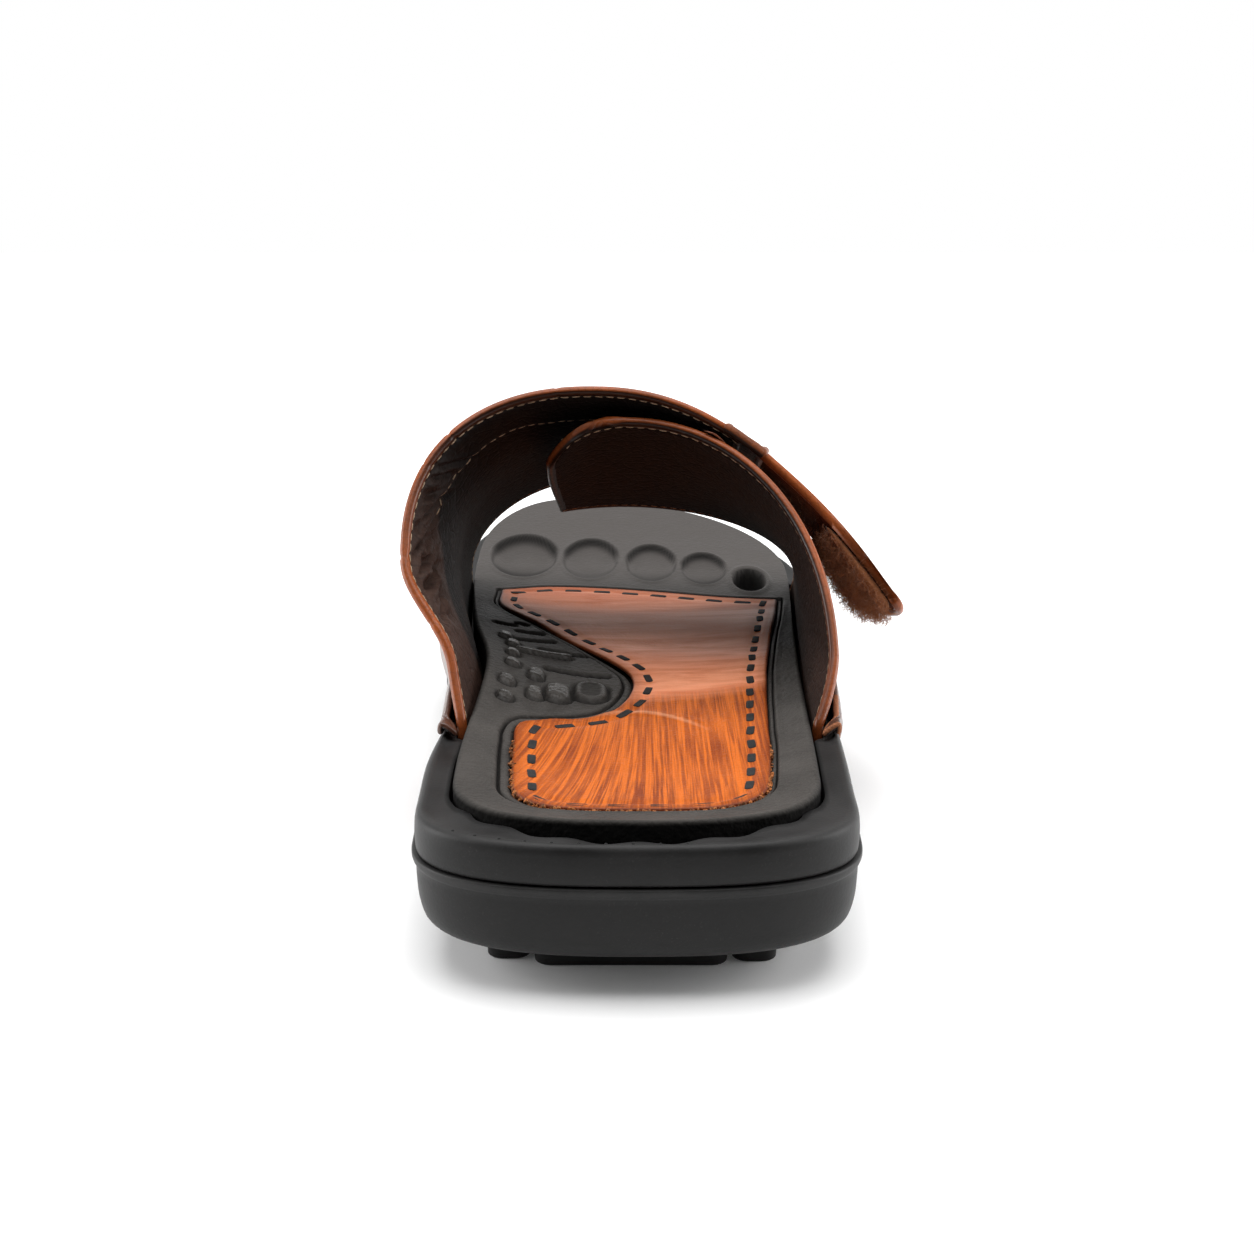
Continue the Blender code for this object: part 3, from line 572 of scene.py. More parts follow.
def strap_face(strap, place, share):
    """Points of a strap's outer face. Place runs 0 to 4 through its foot, leg, shoulder and
    far stretch, and share runs from the rear edge to the front edge."""
    place, share = np.broadcast_arrays(np.asarray(place, float), np.asarray(share, float))
    at = {name: strap.table.read(name, share) for name in STRAP_COLUMNS.split()}
    foot_x = edge_x(strap.side, at["foot_y"], FOOTBED_INSET) + strap.side * (STRAP_THICK + GAP)
    foot_z = LAST.read("rim", at["foot_y"]) + STRAP_FOOT_RISE
    girth_x = strap.side * at["girth_x"]
    stretch = np.clip(np.floor(place), 0, 3)
    t = place - stretch
    flared = smooth_step((t - FLARE_PLACE[0]) / (FLARE_PLACE[1] - FLARE_PLACE[0]))
    lean = (1 - at["flare"]) * (1 - np.maximum(0, 1 - t) ** LEG_POWER) + at["flare"] * flared
    turn = np.clip(t, 0, 1) * math.pi / 2
    level = np.maximum(0, np.cos(turn)) ** (2 / at["power"])
    upright = np.maximum(0, np.sin(turn)) ** (2 / at["power"])
    x = np.select(
        [stretch == 0, stretch == 1, stretch == 2],
        [foot_x, foot_x + (girth_x - foot_x) * lean, at["crown_x"] + (girth_x - at["crown_x"]) * level],
        at["crown_x"] + (at["end_x"] - at["crown_x"]) * t,
    )
    z = np.select(
        [stretch == 0, stretch == 1, stretch == 2],
        [
            foot_z - STRAP_SINK * (1 - t),
            foot_z + (at["girth_z"] - foot_z) * t,
            at["girth_z"] + (at["crown_z"] - at["girth_z"]) * upright,
        ],
        at["crown_z"] - (at["crown_z"] - at["end_z"]) * np.maximum(0, t) ** FAR_POWER,
    )
    climb = at["foot_y"] + (at["crown_y"] - at["foot_y"]) * (z - foot_z) / (at["crown_z"] - foot_z)
    far = at["crown_y"] + (at["end_y"] - at["crown_y"]) * t
    y = np.select([stretch == 0, stretch <= 2], [at["foot_y"], climb], far)
    return np.stack((x, y, z), axis=-1)


def strap_out(strap, place, share):
    """The direction that a strap's outer face looks in."""
    step = 0.01
    along = strap_face(strap, np.minimum(3.999, place + step), share)
    along = along - strap_face(strap, np.maximum(0, place - step), share)
    across = strap_face(strap, place, np.minimum(1, share + step))
    across = across - strap_face(strap, place, np.maximum(0, share - step))
    out = np.cross(along, across) * -strap.side
    return out / np.linalg.norm(out, axis=-1, keepdims=True)


def beyond_strap(distance, share):
    """Points of the outer strap's far stretch, or straight on, by distance from its end."""
    end = strap_face(MEDIAL_STRAP, 4.0, share)
    run = end - strap_face(MEDIAL_STRAP, 3.8, share)
    length = np.linalg.norm(run, axis=-1)
    before = strap_face(MEDIAL_STRAP, 4.0 + 0.2 * np.minimum(0, distance) / length, share)
    after = end + run / length[..., None] * np.asarray(distance)[..., None]
    return np.where((np.asarray(distance) < 0)[..., None], before, after)


def tab_face(along, share):
    """Points of the closing tab's outer face, beyond the end of the outer strap."""
    part = (share - TAB_SHARES[0]) / (TAB_SHARES[1] - TAB_SHARES[0])
    reach = TAB_REACH_REAR * (1 - part[..., None]) + TAB_REACH_FRONT * part[..., None]
    corner = 1 - TAB_END_ROUND * (1 - bow(2 * part - 1, 3))
    curl = TAB_CURL * np.sin(math.pi * np.clip(along, 0, 1))
    lifted = reach * (corner * along)[..., None] + TAB_CURL_WAY * curl[..., None]
    return beyond_strap(np.full_like(share, TAB_ROOT), share) + lifted


def cover_face(strap, rise, share):
    """Points of a side cover, from its foot on the midsole up to the strap. Its rear end is a low
    arch over the rim that climbs the strap's rear edge."""
    opened = smooth_step(share / COVER_CLOSE)
    held = share * smooth_step(share / (2 * COVER_CLOSE))
    tucked = 1 - smooth_step(share / 0.045)
    low = np.full_like(share, 1.0)
    high = np.full_like(share, 3.0)
    foot_point = strap_face(strap, 1.0, share)
    climb = smooth_step(share / (2 * COVER_CLOSE))
    wanted = foot_point[..., 2] + COVER_END_RISE + (COVER_TOP_RISE - COVER_END_RISE) * climb
    for _ in range(24):
        middle = (low + high) / 2
        below = strap_face(strap, middle, held)[..., 2] < wanted
        low = np.where(below, middle, low)
        high = np.where(below, high, middle)
    top = strap_face(strap, low, held) + strap_out(strap, low, held) * (GAP + COVER_THICK)
    y = foot_point[..., 1] - COVER_TUCK * tucked
    rim = LAST.read("rim", y)
    wall = edge_x(strap.side, y, SOLE_INSET)
    inside = np.stack((foot_point[..., 0] - 0.6 * strap.side, y, rim + 0.7), axis=-1)
    top += (inside - top) * tucked[..., None]
    near = foot_point[..., 0] + strap.side * (GAP + COVER_THICK)
    rear, full = COVER_BULGE[strap.side]
    reach = rear + (full - rear) * smooth_step(share / COVER_SWELL)
    bulge_x = near + (wall + strap.side * reach - near) * (0.66 + 0.34 * opened)
    bulge_z = rim + COVER_ARCH + (COVER_THICK - COVER_ARCH) * opened
    bulge = np.stack((bulge_x, (y + top[..., 1]) / 2, bulge_z), axis=-1)
    down = smooth_step((share - 0.012) / 0.08)
    foot_x = wall + strap.side * (COVER_FOOT_REACH - 0.8 * (1 - down))
    foot_z = rim + 0.5 + (LAST.read("seam", y) + COVER_FOOT_RISE - rim - 0.5) * down
    foot = np.stack((foot_x, y, foot_z), axis=-1)
    rise = rise[..., None]
    return foot * (1 - rise) ** 2 + bulge * 2 * (1 - rise) * rise + top * rise**2


# Meshes


def grid_faces(numbers):
    """Corner numbers of the faces of a grid of point numbers."""
    corners = (numbers[:-1, :-1], numbers[:-1, 1:], numbers[1:, 1:], numbers[1:, :-1])
    return np.stack(corners, axis=-1).reshape(-1, 4)


def make_mesh(name, points, faces):
    """A smooth mesh in metres from points in millimetres."""
    mesh = bpy.data.meshes.new(name)
    placed = np.asarray(points, float) * MM + (0, HEEL_BACK_Y, 0)
    mesh.from_pydata(placed.tolist(), [], faces)
    mesh.shade_smooth()
    return mesh


def add_values(mesh, name, values):
    """A number for each point of a mesh, which its material reads."""
    layer = mesh.attributes.new(name, "FLOAT", "POINT")
    layer.data.foreach_set("value", np.asarray(values, np.float32).ravel())


def loft(name, rings, level_caps=False):
    """A closed mesh through loops of points, from its underside to its last loop."""
    rings = np.asarray(rings)
    count = rings.shape[1]
    numbers = np.arange(len(rings) * count).reshape(len(rings), count)
    faces = grid_faces(np.concatenate((numbers, numbers[:, :1]), axis=1)).tolist()
    if level_caps:
        faces += [numbers[0, ::-1].tolist(), numbers[-1].tolist()]
        return make_mesh(name, rings.reshape(-1, 3), faces)
    right = np.arange(count // 2 + 1)
    left = -right % count
    strips = [[right[k], right[k + 1], left[k + 1], left[k]] for k in range(count // 2)]
    strips = [list(dict.fromkeys(int(corner) for corner in strip)) for strip in strips]
    top = (len(rings) - 1) * count
    faces += [strip[::-1] for strip in strips]
    faces += [[top + corner for corner in strip] for strip in strips]
    return make_mesh(name, rings.reshape(-1, 3), faces)


def graded(steps, length, count, lean=1.0):
    """Shares of each length, close together near both ends. A lean over 1 draws the rest
    to the start."""
    near = np.asarray(steps)[None] / np.asarray(length)[:, None]
    first = near[:, -1:]
    middle = first + (1 - 2 * first) * np.linspace(0, 1, count)[None, 1:-1] ** lean
    return np.concatenate((near, middle, 1 - near[:, ::-1]), axis=1)


def graded_run(steps, length, count, lean=1.0):
    """Shares of one length, graded in the same way."""
    return graded(steps, np.array((length,)), count, lean)[0]


def eased(grid, passes):
    """A grid of points with its bends softened along its rows, ends kept."""
    grid = grid.copy()
    for _ in range(passes):
        grid[1:-1] = (grid[:-2] + 2 * grid[1:-1] + grid[2:]) / 4
    return grid


class Sheet:
    """A leather sheet round a grid of points: its middle surface, and distances on it."""

    def __init__(self, face, thickness, facing):
        self.facing = facing
        self.thickness = thickness
        out = np.cross(np.gradient(face, axis=0), np.gradient(face, axis=1)) * facing
        self.out = out / np.maximum(np.linalg.norm(out, axis=-1, keepdims=True), 1e-9)
        self.middle = face - self.out * thickness / 2
        self.along = run_lengths(face, axis=0)
        self.across = run_lengths(face, axis=1)
        ends = np.minimum(self.along, self.along[-1:] - self.along)
        sides = np.minimum(self.across, self.across[:, -1:] - self.across)
        self.gap = np.minimum(ends, sides)
        self.relief = np.zeros(face.shape[:2])
        self.lining_relief = np.zeros(face.shape[:2])
        # painted shade of the lining side, from 0 to 1
        self.shade = np.zeros(face.shape[:2])

    def half(self, bead):
        """Half thickness: a rolled bead at the edge, a dip where it is sewn, then the full sheet."""
        roll = np.sqrt(np.maximum(0, bead**2 - (self.gap - bead) ** 2))
        body = self.thickness / 2 * (1 - 0.2 * hump(self.gap - 1.9 * bead, 0.42 * bead))
        return np.where(self.gap < bead, roll, np.maximum(roll, body))

    def sides(self, bead):
        """Points of the outer and the inner side."""
        half = self.half(bead)
        outer = self.middle + self.out * (half + self.relief)[..., None]
        inner = self.middle - self.out * (half + self.lining_relief)[..., None]
        return outer, inner

    def mesh(self, name, bead, edge_width):
        """A closed mesh with material 0 outside, 1 on the rolled edge and 2 on the lining."""
        outer, inner = self.sides(bead)
        rows, columns = self.gap.shape
        top = np.arange(rows * columns).reshape(rows, columns)
        under = top.copy()
        under[1:-1, 1:-1] = rows * columns + np.arange((rows - 2) * (columns - 2)).reshape(rows - 2, -1)
        points = np.concatenate((outer.reshape(-1, 3), inner[1:-1, 1:-1].reshape(-1, 3)))
        gap = np.concatenate((self.gap.ravel(), self.gap[1:-1, 1:-1].ravel()))
        upper = grid_faces(top)
        lower = grid_faces(under)
        if self.facing > 0:
            upper = upper[:, ::-1]
        else:
            lower = lower[:, ::-1]
        faces = np.concatenate((upper, lower))
        mesh = make_mesh(name, points, faces.tolist())
        edge = gap[faces].mean(axis=1) < edge_width
        kind = np.repeat((0, 2), (len(upper), len(lower)))
        mesh.polygons.foreach_set("material_index", np.where(edge, 1, kind).astype(np.int32))
        add_values(mesh, "gap", np.minimum(gap, 20))
        # only the lining side carries the painted shade
        lining_shade = self.shade[1:-1, 1:-1].ravel()
        add_values(mesh, "shade", np.concatenate((np.zeros(rows * columns), lining_shade)))
        return mesh


def strap_sheet(strap, free_end_round):
    """A strap's sheet with finely graded edges, and where each point lies on it."""
    far_length = run_lengths(strap_face(strap, np.linspace(3, 4, 30), 0.3))[-1]
    end = 4 - np.array(EDGE_STEPS[::-1]) / far_length
    places = [k + np.arange(rows) / rows for k, rows in enumerate(STRETCH_ROWS[:3])]
    places += [3 + np.arange(STRETCH_ROWS[3]) / STRETCH_ROWS[3] * (end[0] - 3), end]
    places = np.concatenate(places)
    coarse = strap_face(strap, places[:, None], np.linspace(0, 1, 61)[None])
    share = graded(EDGE_STEPS, run_lengths(coarse, axis=1)[:, -1], 84, 1.5)
    place = np.repeat(places[:, None], share.shape[1], axis=1)
    if free_end_round:
        span, depth = free_end_round
        pulled = depth * (1 - bow(np.clip(1 - share / span, 0, 1), 2.2))
        place = np.where(place > 3, 3 + (place - 3) * (1 - pulled), place)
    face = eased(strap_face(strap, place, share), 8)
    sheet = Sheet(face, STRAP_THICK, -strap.side)
    sheet.place = place
    sheet.share = share
    return sheet


def face_kinds(mesh):
    """The material number of each face."""
    kinds = np.zeros(len(mesh.polygons), np.int32)
    mesh.polygons.foreach_get("material_index", kinds)
    return kinds


def finish_piece(name, mesh, slot, materials, *replaced):
    """A finished piece that rides on the sandal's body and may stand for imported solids."""
    kinds = np.minimum(face_kinds(mesh), len(materials) - 1)
    mesh.materials.clear()
    for material in materials:
        mesh.materials.append(material)
    mesh.polygons.foreach_set("material_index", kinds)
    piece = bpy.data.objects.new(name, mesh)
    bpy.context.scene.collection.objects.link(piece)
    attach(piece, "root")
    if replaced:
        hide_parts(*replaced)
    return piece


# Geometry Nodes for what repeats


class Board:
    """Adds nodes to a tree: a value that is a socket is linked, any other is set."""

    def __init__(self, tree):
        self.tree = tree

    def fill(self, node, inputs):
        for name, value in inputs.items():
            if isinstance(value, bpy.types.NodeSocket):
                self.tree.links.new(value, node.inputs[name])
            else:
                node.inputs[name].default_value = value
        return node

    def add(self, kind, inputs=None, **settings):
        node = self.tree.nodes.new(kind)
        for name, value in settings.items():
            setattr(node, name, value)
        return self.fill(node, inputs or {})


def once(name):
    """Marks a function that makes a named material or node group, so that it is made one time."""

    def mark(make):
        def get(*given):
            found = bpy.data.materials.get(name) or bpy.data.node_groups.get(name)
            return found or make(name, *given)

        return get

    return mark


def new_tree(name, **sockets):
    """A Geometry Nodes tree with named inputs, its board and its given values."""
    tree = bpy.data.node_groups.new(name, "GeometryNodeTree")
    tree.interface.new_socket("Geometry", in_out="INPUT", socket_type="NodeSocketGeometry")
    for label, kind in sockets.items():
        tree.interface.new_socket(label, in_out="INPUT", socket_type="NodeSocket" + kind)
    tree.interface.new_socket("Geometry", in_out="OUTPUT", socket_type="NodeSocketGeometry")
    board = Board(tree)
    return board, board.add("NodeGroupInput").outputs


def end_tree(board, laid, turn, material):
    """Closes a tree: instances are laid on points, turned, and made real faces of one material."""
    made = board.add("GeometryNodeInstanceOnPoints", laid).outputs[0]
    made = board.add("GeometryNodeRotateInstances", {"Instances": made, "Rotation": turn}).outputs[0]
    made = board.add("GeometryNodeRealizeInstances", {"Geometry": made}).outputs[0]
    made = board.add("GeometryNodeSetMaterial", {"Geometry": made, "Material": material}).outputs[0]
    board.add("NodeGroupOutput", {"Geometry": made})
    return board.tree


def random_vector(board, low, high, seed):
    """A seeded random vector for each instance."""
    values = {0: low, 1: high, "Seed": seed}
    return board.add("FunctionNodeRandomValue", values, data_type="FLOAT_VECTOR").outputs[0]


def scattered(board, reach, seed):
    """A seeded random vector for each instance, up to a reach either way."""
    back = board.add("ShaderNodeVectorMath", {0: reach, 1: (-1, -1, -1)}, operation="MULTIPLY")
    return random_vector(board, back.outputs[0], reach, seed)


def path_spots(board, given):
    """Evenly spaced points along the given paths."""
    path = board.add("GeometryNodeMeshToCurve", {"Mesh": given["Geometry"]}).outputs[0]
    values = {"Curve": path, "Length": given["Pitch"]}
    return board.add("GeometryNodeCurveToPoints", values, mode="LENGTH").outputs


@once("stitch_run")
def stitch_tree(name):
    """Rounded stitches laid end to end along paths, flat on the surface that carries them."""
    board, given = new_tree(
        name,
        Pitch="Float",
        Size="Vector",
        Boxiness="Float",
        Detail="Int",
        Lean="Vector",
        Material="Material",
    )
    spots = path_spots(board, given)
    up = board.add("GeometryNodeInputNamedAttribute", {"Name": "up"}, data_type="FLOAT_VECTOR")
    turn = board.add(
        "FunctionNodeAxesToRotation",
        {"Primary Axis": spots["Tangent"], "Secondary Axis": up.outputs[0]},
        primary_axis="X",
        secondary_axis="Z",
    ).outputs[0]
    cube = board.add("GeometryNodeMeshCube", {"Size": (1, 1, 1)}).outputs["Mesh"]
    values = {"Mesh": cube, "Level": given["Detail"], "Edge Crease": given["Boxiness"]}
    stitch = board.add("GeometryNodeSubdivisionSurface", values).outputs[0]
    stitch = board.add("GeometryNodeSetShadeSmooth", {"Geometry": stitch}).outputs[0]
    laid = {"Points": spots["Points"], "Instance": stitch, "Rotation": turn, "Scale": given["Size"]}
    return end_tree(board, laid, scattered(board, given["Lean"], STITCH_SEED), given["Material"])


@once("crumb_run")
def crumb_tree(name):
    """Ragged crumbs scattered beside a path."""
    board, given = new_tree(
        name, Pitch="Float", Scatter="Vector", Smallest="Vector", Largest="Vector", Material="Material"
    )
    offset = scattered(board, given["Scatter"], CRUMB_PLACE_SEED)
    values = {"Geometry": path_spots(board, given)["Points"], "Offset": offset}
    spots = board.add("GeometryNodeSetPosition", values).outputs[0]
    ball = board.add("GeometryNodeMeshIcoSphere", {"Radius": 1.0, "Subdivisions": 1}).outputs["Mesh"]
    size = random_vector(board, given["Smallest"], given["Largest"], CRUMB_SIZE_SEED)
    turn = random_vector(board, (0, 0, 0), (6.28, 6.28, 6.28), CRUMB_TURN_SEED)
    laid = {"Points": spots, "Instance": ball, "Scale": size}
    return end_tree(board, laid, turn, given["Material"])


@once("bent_strands")
def strand_tree(name):
    """Fine bent strands that stand on a pad or lie about on a surface."""
    board, given = new_tree(
        name,
        Density="Float",
        Length="Float",
        Thread="Float",
        Bend="Float",
        Lean="Vector",
        Seed="Int",
        Material="Material",
    )
    values = {"Mesh": given["Geometry"], "Density": given["Density"], "Seed": given["Seed"]}
    spots = board.add("GeometryNodeDistributePointsOnFaces", values).outputs
    tip = board.add("ShaderNodeCombineXYZ", {"X": given["Bend"], "Y": 0.0, "Z": 0.75}).outputs[0]
    values = {"Resolution": 5, "Start": (0, 0, -0.08), "Middle": (0, 0.15, 0.75), "End": tip}
    bent = board.add("GeometryNodeCurveQuadraticBezier", values).outputs[0]
    size = board.add("ShaderNodeCombineXYZ", dict.fromkeys("XYZ", given["Length"])).outputs[0]
    bent = board.add("GeometryNodeTransform", {"Geometry": bent, "Scale": size}).outputs[0]
    values = {"Resolution": 3, "Radius": given["Thread"]}
    thread = board.add("GeometryNodeCurvePrimitiveCircle", values).outputs[0]
    values = {"Curve": bent, "Profile Curve": thread, "Fill Caps": True}
    strand = board.add("GeometryNodeCurveToMesh", values).outputs[0]
    strand = board.add("GeometryNodeSetShadeSmooth", {"Geometry": strand}).outputs[0]
    laid = {
        "Points": spots["Points"],
        "Instance": strand,
        "Rotation": spots["Rotation"],
        "Scale": random_vector(board, (0.5, 0.5, 0.45), (1.25, 1.25, 1.2), STRAND_SIZE_SEED),
    }
    return end_tree(board, laid, scattered(board, given["Lean"], STRAND_LEAN_SEED), given["Material"])


def grow(name, mesh, tree, values):
    """The plain mesh that a tree makes on a path or pad."""
    source = bpy.data.objects.new(name + "_source", mesh)
    bpy.context.scene.collection.objects.link(source)
    modifier = source.modifiers.new(tree.name, "NODES")
    modifier.node_group = tree
    for item in tree.interface.items_tree:
        if item.in_out == "INPUT" and item.name in values:
            modifier[item.identifier] = values[item.name]
    graph = bpy.context.evaluated_depsgraph_get()
    made = bpy.data.meshes.new_from_object(source.evaluated_get(graph), depsgraph=graph)
    made.name = name
    source.modifiers.clear()
    bpy.data.objects.remove(source)
    if not made.polygons:
        raise RuntimeError(name + " came out empty")
    return made


def grow_piece(name, slot, source, tree, values):
    """A finished piece of what a tree makes on a path or pad."""
    mesh = grow(name, source, tree, values)
    return finish_piece(name, mesh, slot, [values["Material"]])


def path_mesh(name, paths):
    """Open paths as one mesh of edges. Each path is a pair of points and up directions."""
    points = np.concatenate([path for path, _ in paths])
    ups = np.concatenate([up for _, up in paths])
    edges = []
    first = 0
    for path, _ in paths:
        edges += [(first + k, first + k + 1) for k in range(len(path) - 1)]
        first += len(path)
    mesh = bpy.data.meshes.new(name)
    placed = points * MM + (0, HEEL_BACK_Y, 0)
    mesh.from_pydata(placed.tolist(), edges, [])
    layer = mesh.attributes.new("up", "FLOAT_VECTOR", "POINT")
    layer.data.foreach_set("vector", np.asarray(ups, np.float32).ravel())
    return mesh


# Shader groups and materials


def shader_group(name, inputs, outputs):
    """A shader node group with named number inputs and outputs, its board and its input node."""
    tree = bpy.data.node_groups.new(name, "ShaderNodeTree")
    tree.interface.new_socket("Vector", in_out="INPUT", socket_type="NodeSocketVector")
    for label in inputs:
        tree.interface.new_socket(label, in_out="INPUT", socket_type="NodeSocketFloat")
    for label in outputs:
        tree.interface.new_socket(label, in_out="OUTPUT", socket_type="NodeSocketFloat")
    board = Board(tree)
    return board, board.add("NodeGroupInput").outputs


def noise(board, vector, scale, detail=3.0, roughness=0.55, distortion=0.0):
    """Noise from 0 to 1."""
    values = {"Vector": vector, "Scale": scale, "Detail": detail, "Roughness": roughness}
    values["Distortion"] = distortion
    return board.add("ShaderNodeTexNoise", values).outputs["Fac"]


def ranged(board, value, low, high, to_low=0.0, to_high=1.0):
    """A value moved from one range to another and kept inside it."""
    values = {"Value": value, "From Min": low, "From Max": high, "To Min": to_low, "To Max": to_high}
    return board.add("ShaderNodeMapRange", values).outputs["Result"]


def sums(board, operation, first, second):
    """One sum of two values."""
    return board.add("ShaderNodeMath", {0: first, 1: second}, operation=operation).outputs[0]


def times(board, first, second):
    """Two values multiplied."""
    return sums(board, "MULTIPLY", first, second)


def mixed(board, share, first, second):
    """Two colours mixed by a share."""
    values = {0: share, 6: first, 7: second}
    return board.add("ShaderNodeMix", values, data_type="RGBA").outputs[2]


def stretched(board, vector, scale):
    """Coordinates stretched along the shoe's directions."""
    return board.add("ShaderNodeVectorMath", {0: vector, 1: scale}, operation="MULTIPLY").outputs[0]


@once("leather_grain")
def grain_group(name):
    """Leather grain: small rounded cells with fine creases between them."""
    board, given = shader_group(name, ("Cell",), ("Height", "Crease"))
    values = {"Vector": given["Vector"], "Scale": given["Cell"]}
    cells = board.add("ShaderNodeTexVoronoi", values, feature="F1").outputs["Distance"]
    wander = noise(board, given["Vector"], given["Cell"], 4.0)
    values["Scale"] = times(board, given["Cell"], 0.34)
    lines = board.add("ShaderNodeTexVoronoi", values, feature="DISTANCE_TO_EDGE").outputs["Distance"]
    crease = ranged(board, lines, 0.0, 0.09, 1.0, 0.0)
    height = sums(board, "SUBTRACT", sums(board, "ADD", wander, 0.4), times(board, cells, 0.7))
    height = sums(board, "SUBTRACT", height, times(board, crease, 0.5))
    board.add("NodeGroupOutput", {"Height": height, "Crease": crease})
    return board.tree


@once("dust_specks")
def dust_group(name):
    """Fine pale specks that gather in soft patches."""
    board, given = shader_group(name, ("Scale", "Amount"), ("Mask",))
    fine = noise(board, given["Vector"], given["Scale"], 1.0)
    patch = noise(board, given["Vector"], times(board, given["Scale"], 0.03), 3.0)
    mask = times(board, ranged(board, fine, 0.62, 0.74), ranged(board, patch, 0.35, 0.7))
    board.add("NodeGroupOutput", {"Mask": times(board, mask, given["Amount"])})
    return board.tree


class Finish:
    """A material under work: its board, its coordinates and its shader."""

    def __init__(self, name):
        self.material = bpy.data.materials.new(name)
        self.material.use_nodes = True
        tree = self.material.node_tree
        tree.nodes.clear()
        self.board = Board(tree)
        self.place = self.board.add("ShaderNodeTexCoord").outputs["Object"]
        self.along = self.board.add("ShaderNodeSeparateXYZ", {0: self.place}).outputs
        self.shader = self.board.add("ShaderNodeBsdfPrincipled")
        self.board.add("ShaderNodeOutputMaterial", {"Surface": self.shader.outputs[0]})

    def number(self, name):
        """A number that the mesh carries for each point."""
        return self.board.add("ShaderNodeAttribute", attribute_name=name).outputs["Fac"]

    def bump(self, height, strength, distance, normal=None):
        """Fine relief from a height."""
        values = {"Height": height, "Strength": strength, "Distance": distance * MM}
        if normal is not None:
            values["Normal"] = normal
        return self.board.add("ShaderNodeBump", values).outputs["Normal"]

    def grain(self, cell):
        """Height and creases of leather grain with so many cells a metre."""
        values = {"Vector": self.place, "Cell": cell}
        return self.board.add("ShaderNodeGroup", values, node_tree=grain_group()).outputs

    def specks(self, scale, amount):
        """Where fine dust lies."""
        values = {"Vector": self.place, "Scale": scale, "Amount": amount}
        return self.board.add("ShaderNodeGroup", values, node_tree=dust_group()).outputs["Mask"]

    def set(self, **sockets):
        """Sets or links the shader's sockets, with _ for a space in their names."""
        self.board.fill(self.shader, {name.replace("_", " "): value for name, value in sockets.items()})
        return self.material


def solid(colour, factor=1.0):
    """A colour with full alpha, lighter or darker by a factor."""
    return (*(min(1.0, channel * factor) for channel in colour), 1.0)


def toned(board, value, low, high, colour, dark, light):
    """A colour that goes from a darker to a lighter shade as a value rises."""
    return mixed(board, ranged(board, value, low, high), solid(colour, dark), solid(colour, light))


@once("moulded_rubber")
def rubber_finish(name, look):
    """Matt moulded rubber with a faint bloom, edges rubbed grey, and painted light that greys the rim's top
    and the flange's lip.
    """
    finish = Finish(name)
    board = finish.board
    mottle = noise(board, finish.place, 70.0, 5.0)
    fine = noise(board, finish.place, 1500.0, 2.0)
    colour = toned(board, mottle, 0.3, 0.7, look.rubber_colour, 0.7, 1.25)
    # lighter grey from rubbing, and painted light on the rim's top and the flange's lip
    wear_and_light = times(board, finish.number("wear_and_light"), ranged(board, mottle, 0.25, 0.65, 0.25, 1.0))
    colour = mixed(board, times(board, wear_and_light, 0.8), colour, solid(look.rubber_colour, 3.0))
    colour = mixed(board, finish.specks(2600.0, 0.07), colour, (0.16, 0.15, 0.14, 1))
    normal = finish.bump(mottle, 0.15, 0.6)
    normal = finish.bump(fine, 0.28, 0.12, normal)
    return finish.set(
        Base_Color=colour,
        Roughness=ranged(board, mottle, 0.3, 0.7, 0.44, 0.54),
        Specular_IOR_Level=0.2,
        Normal=normal,
    )


@once("pebbled_foam")
def foam_finish(name, look):
    """Pebbled moulded foam: painted shadow of the straps before the toe hollows, painted shade where its
    mesh carries shade, smoother and greyer towards the toe.
    """
    finish = Finish(name)
    board = finish.board
    y = finish.along["Y"]
    shade = finish.number("shade")
    toe = ranged(board, y, 0.095, 0.150)
    mottle = noise(board, finish.place, 90.0, 4.0)
    fine = noise(board, finish.place, 1900.0, 2.0)
    values = {"Vector": finish.place, "Scale": 820.0}
    pebbles = board.add("ShaderNodeTexVoronoi", values, feature="SMOOTH_F1").outputs["Distance"]
    colour = toned(board, mottle, 0.3, 0.7, look.foam_colour, 0.75, 1.2)
    colour = mixed(board, times(board, toe, 0.75), colour, solid(look.toe_colour, 1.15))
    # painted shadow of the straps, between the inlay's front and the toe hollows
    strap_shadow = times(board, ranged(board, y, 0.138, 0.160, 0.5, 0.0), ranged(board, y, 0.070, 0.100))
    colour = mixed(board, strap_shadow, colour, solid(look.foam_colour, 0.3))
    colour = mixed(board, finish.specks(2300.0, 0.3), colour, (0.12, 0.115, 0.11, 1))
    # painted shade from the shade numbers of the mesh
    colour = mixed(board, shade, colour, solid(look.foam_colour, 0.08))
    rough = sums(board, "ADD", ranged(board, mottle, 0.3, 0.7, 0.50, 0.62), times(board, shade, 0.38))
    height = sums(board, "SUBTRACT", times(board, fine, 0.6), times(board, pebbles, 0.8))
    height = times(board, height, ranged(board, toe, 0.0, 1.0, 1.0, 0.35))
    return finish.set(
        Base_Color=colour,
        Roughness=times(board, rough, ranged(board, finish.number("polish"), 0.0, 1.0, 1.0, 0.42)),
        Specular_IOR_Level=0.14,
        Normal=finish.bump(height, 0.8, 0.4),
    )


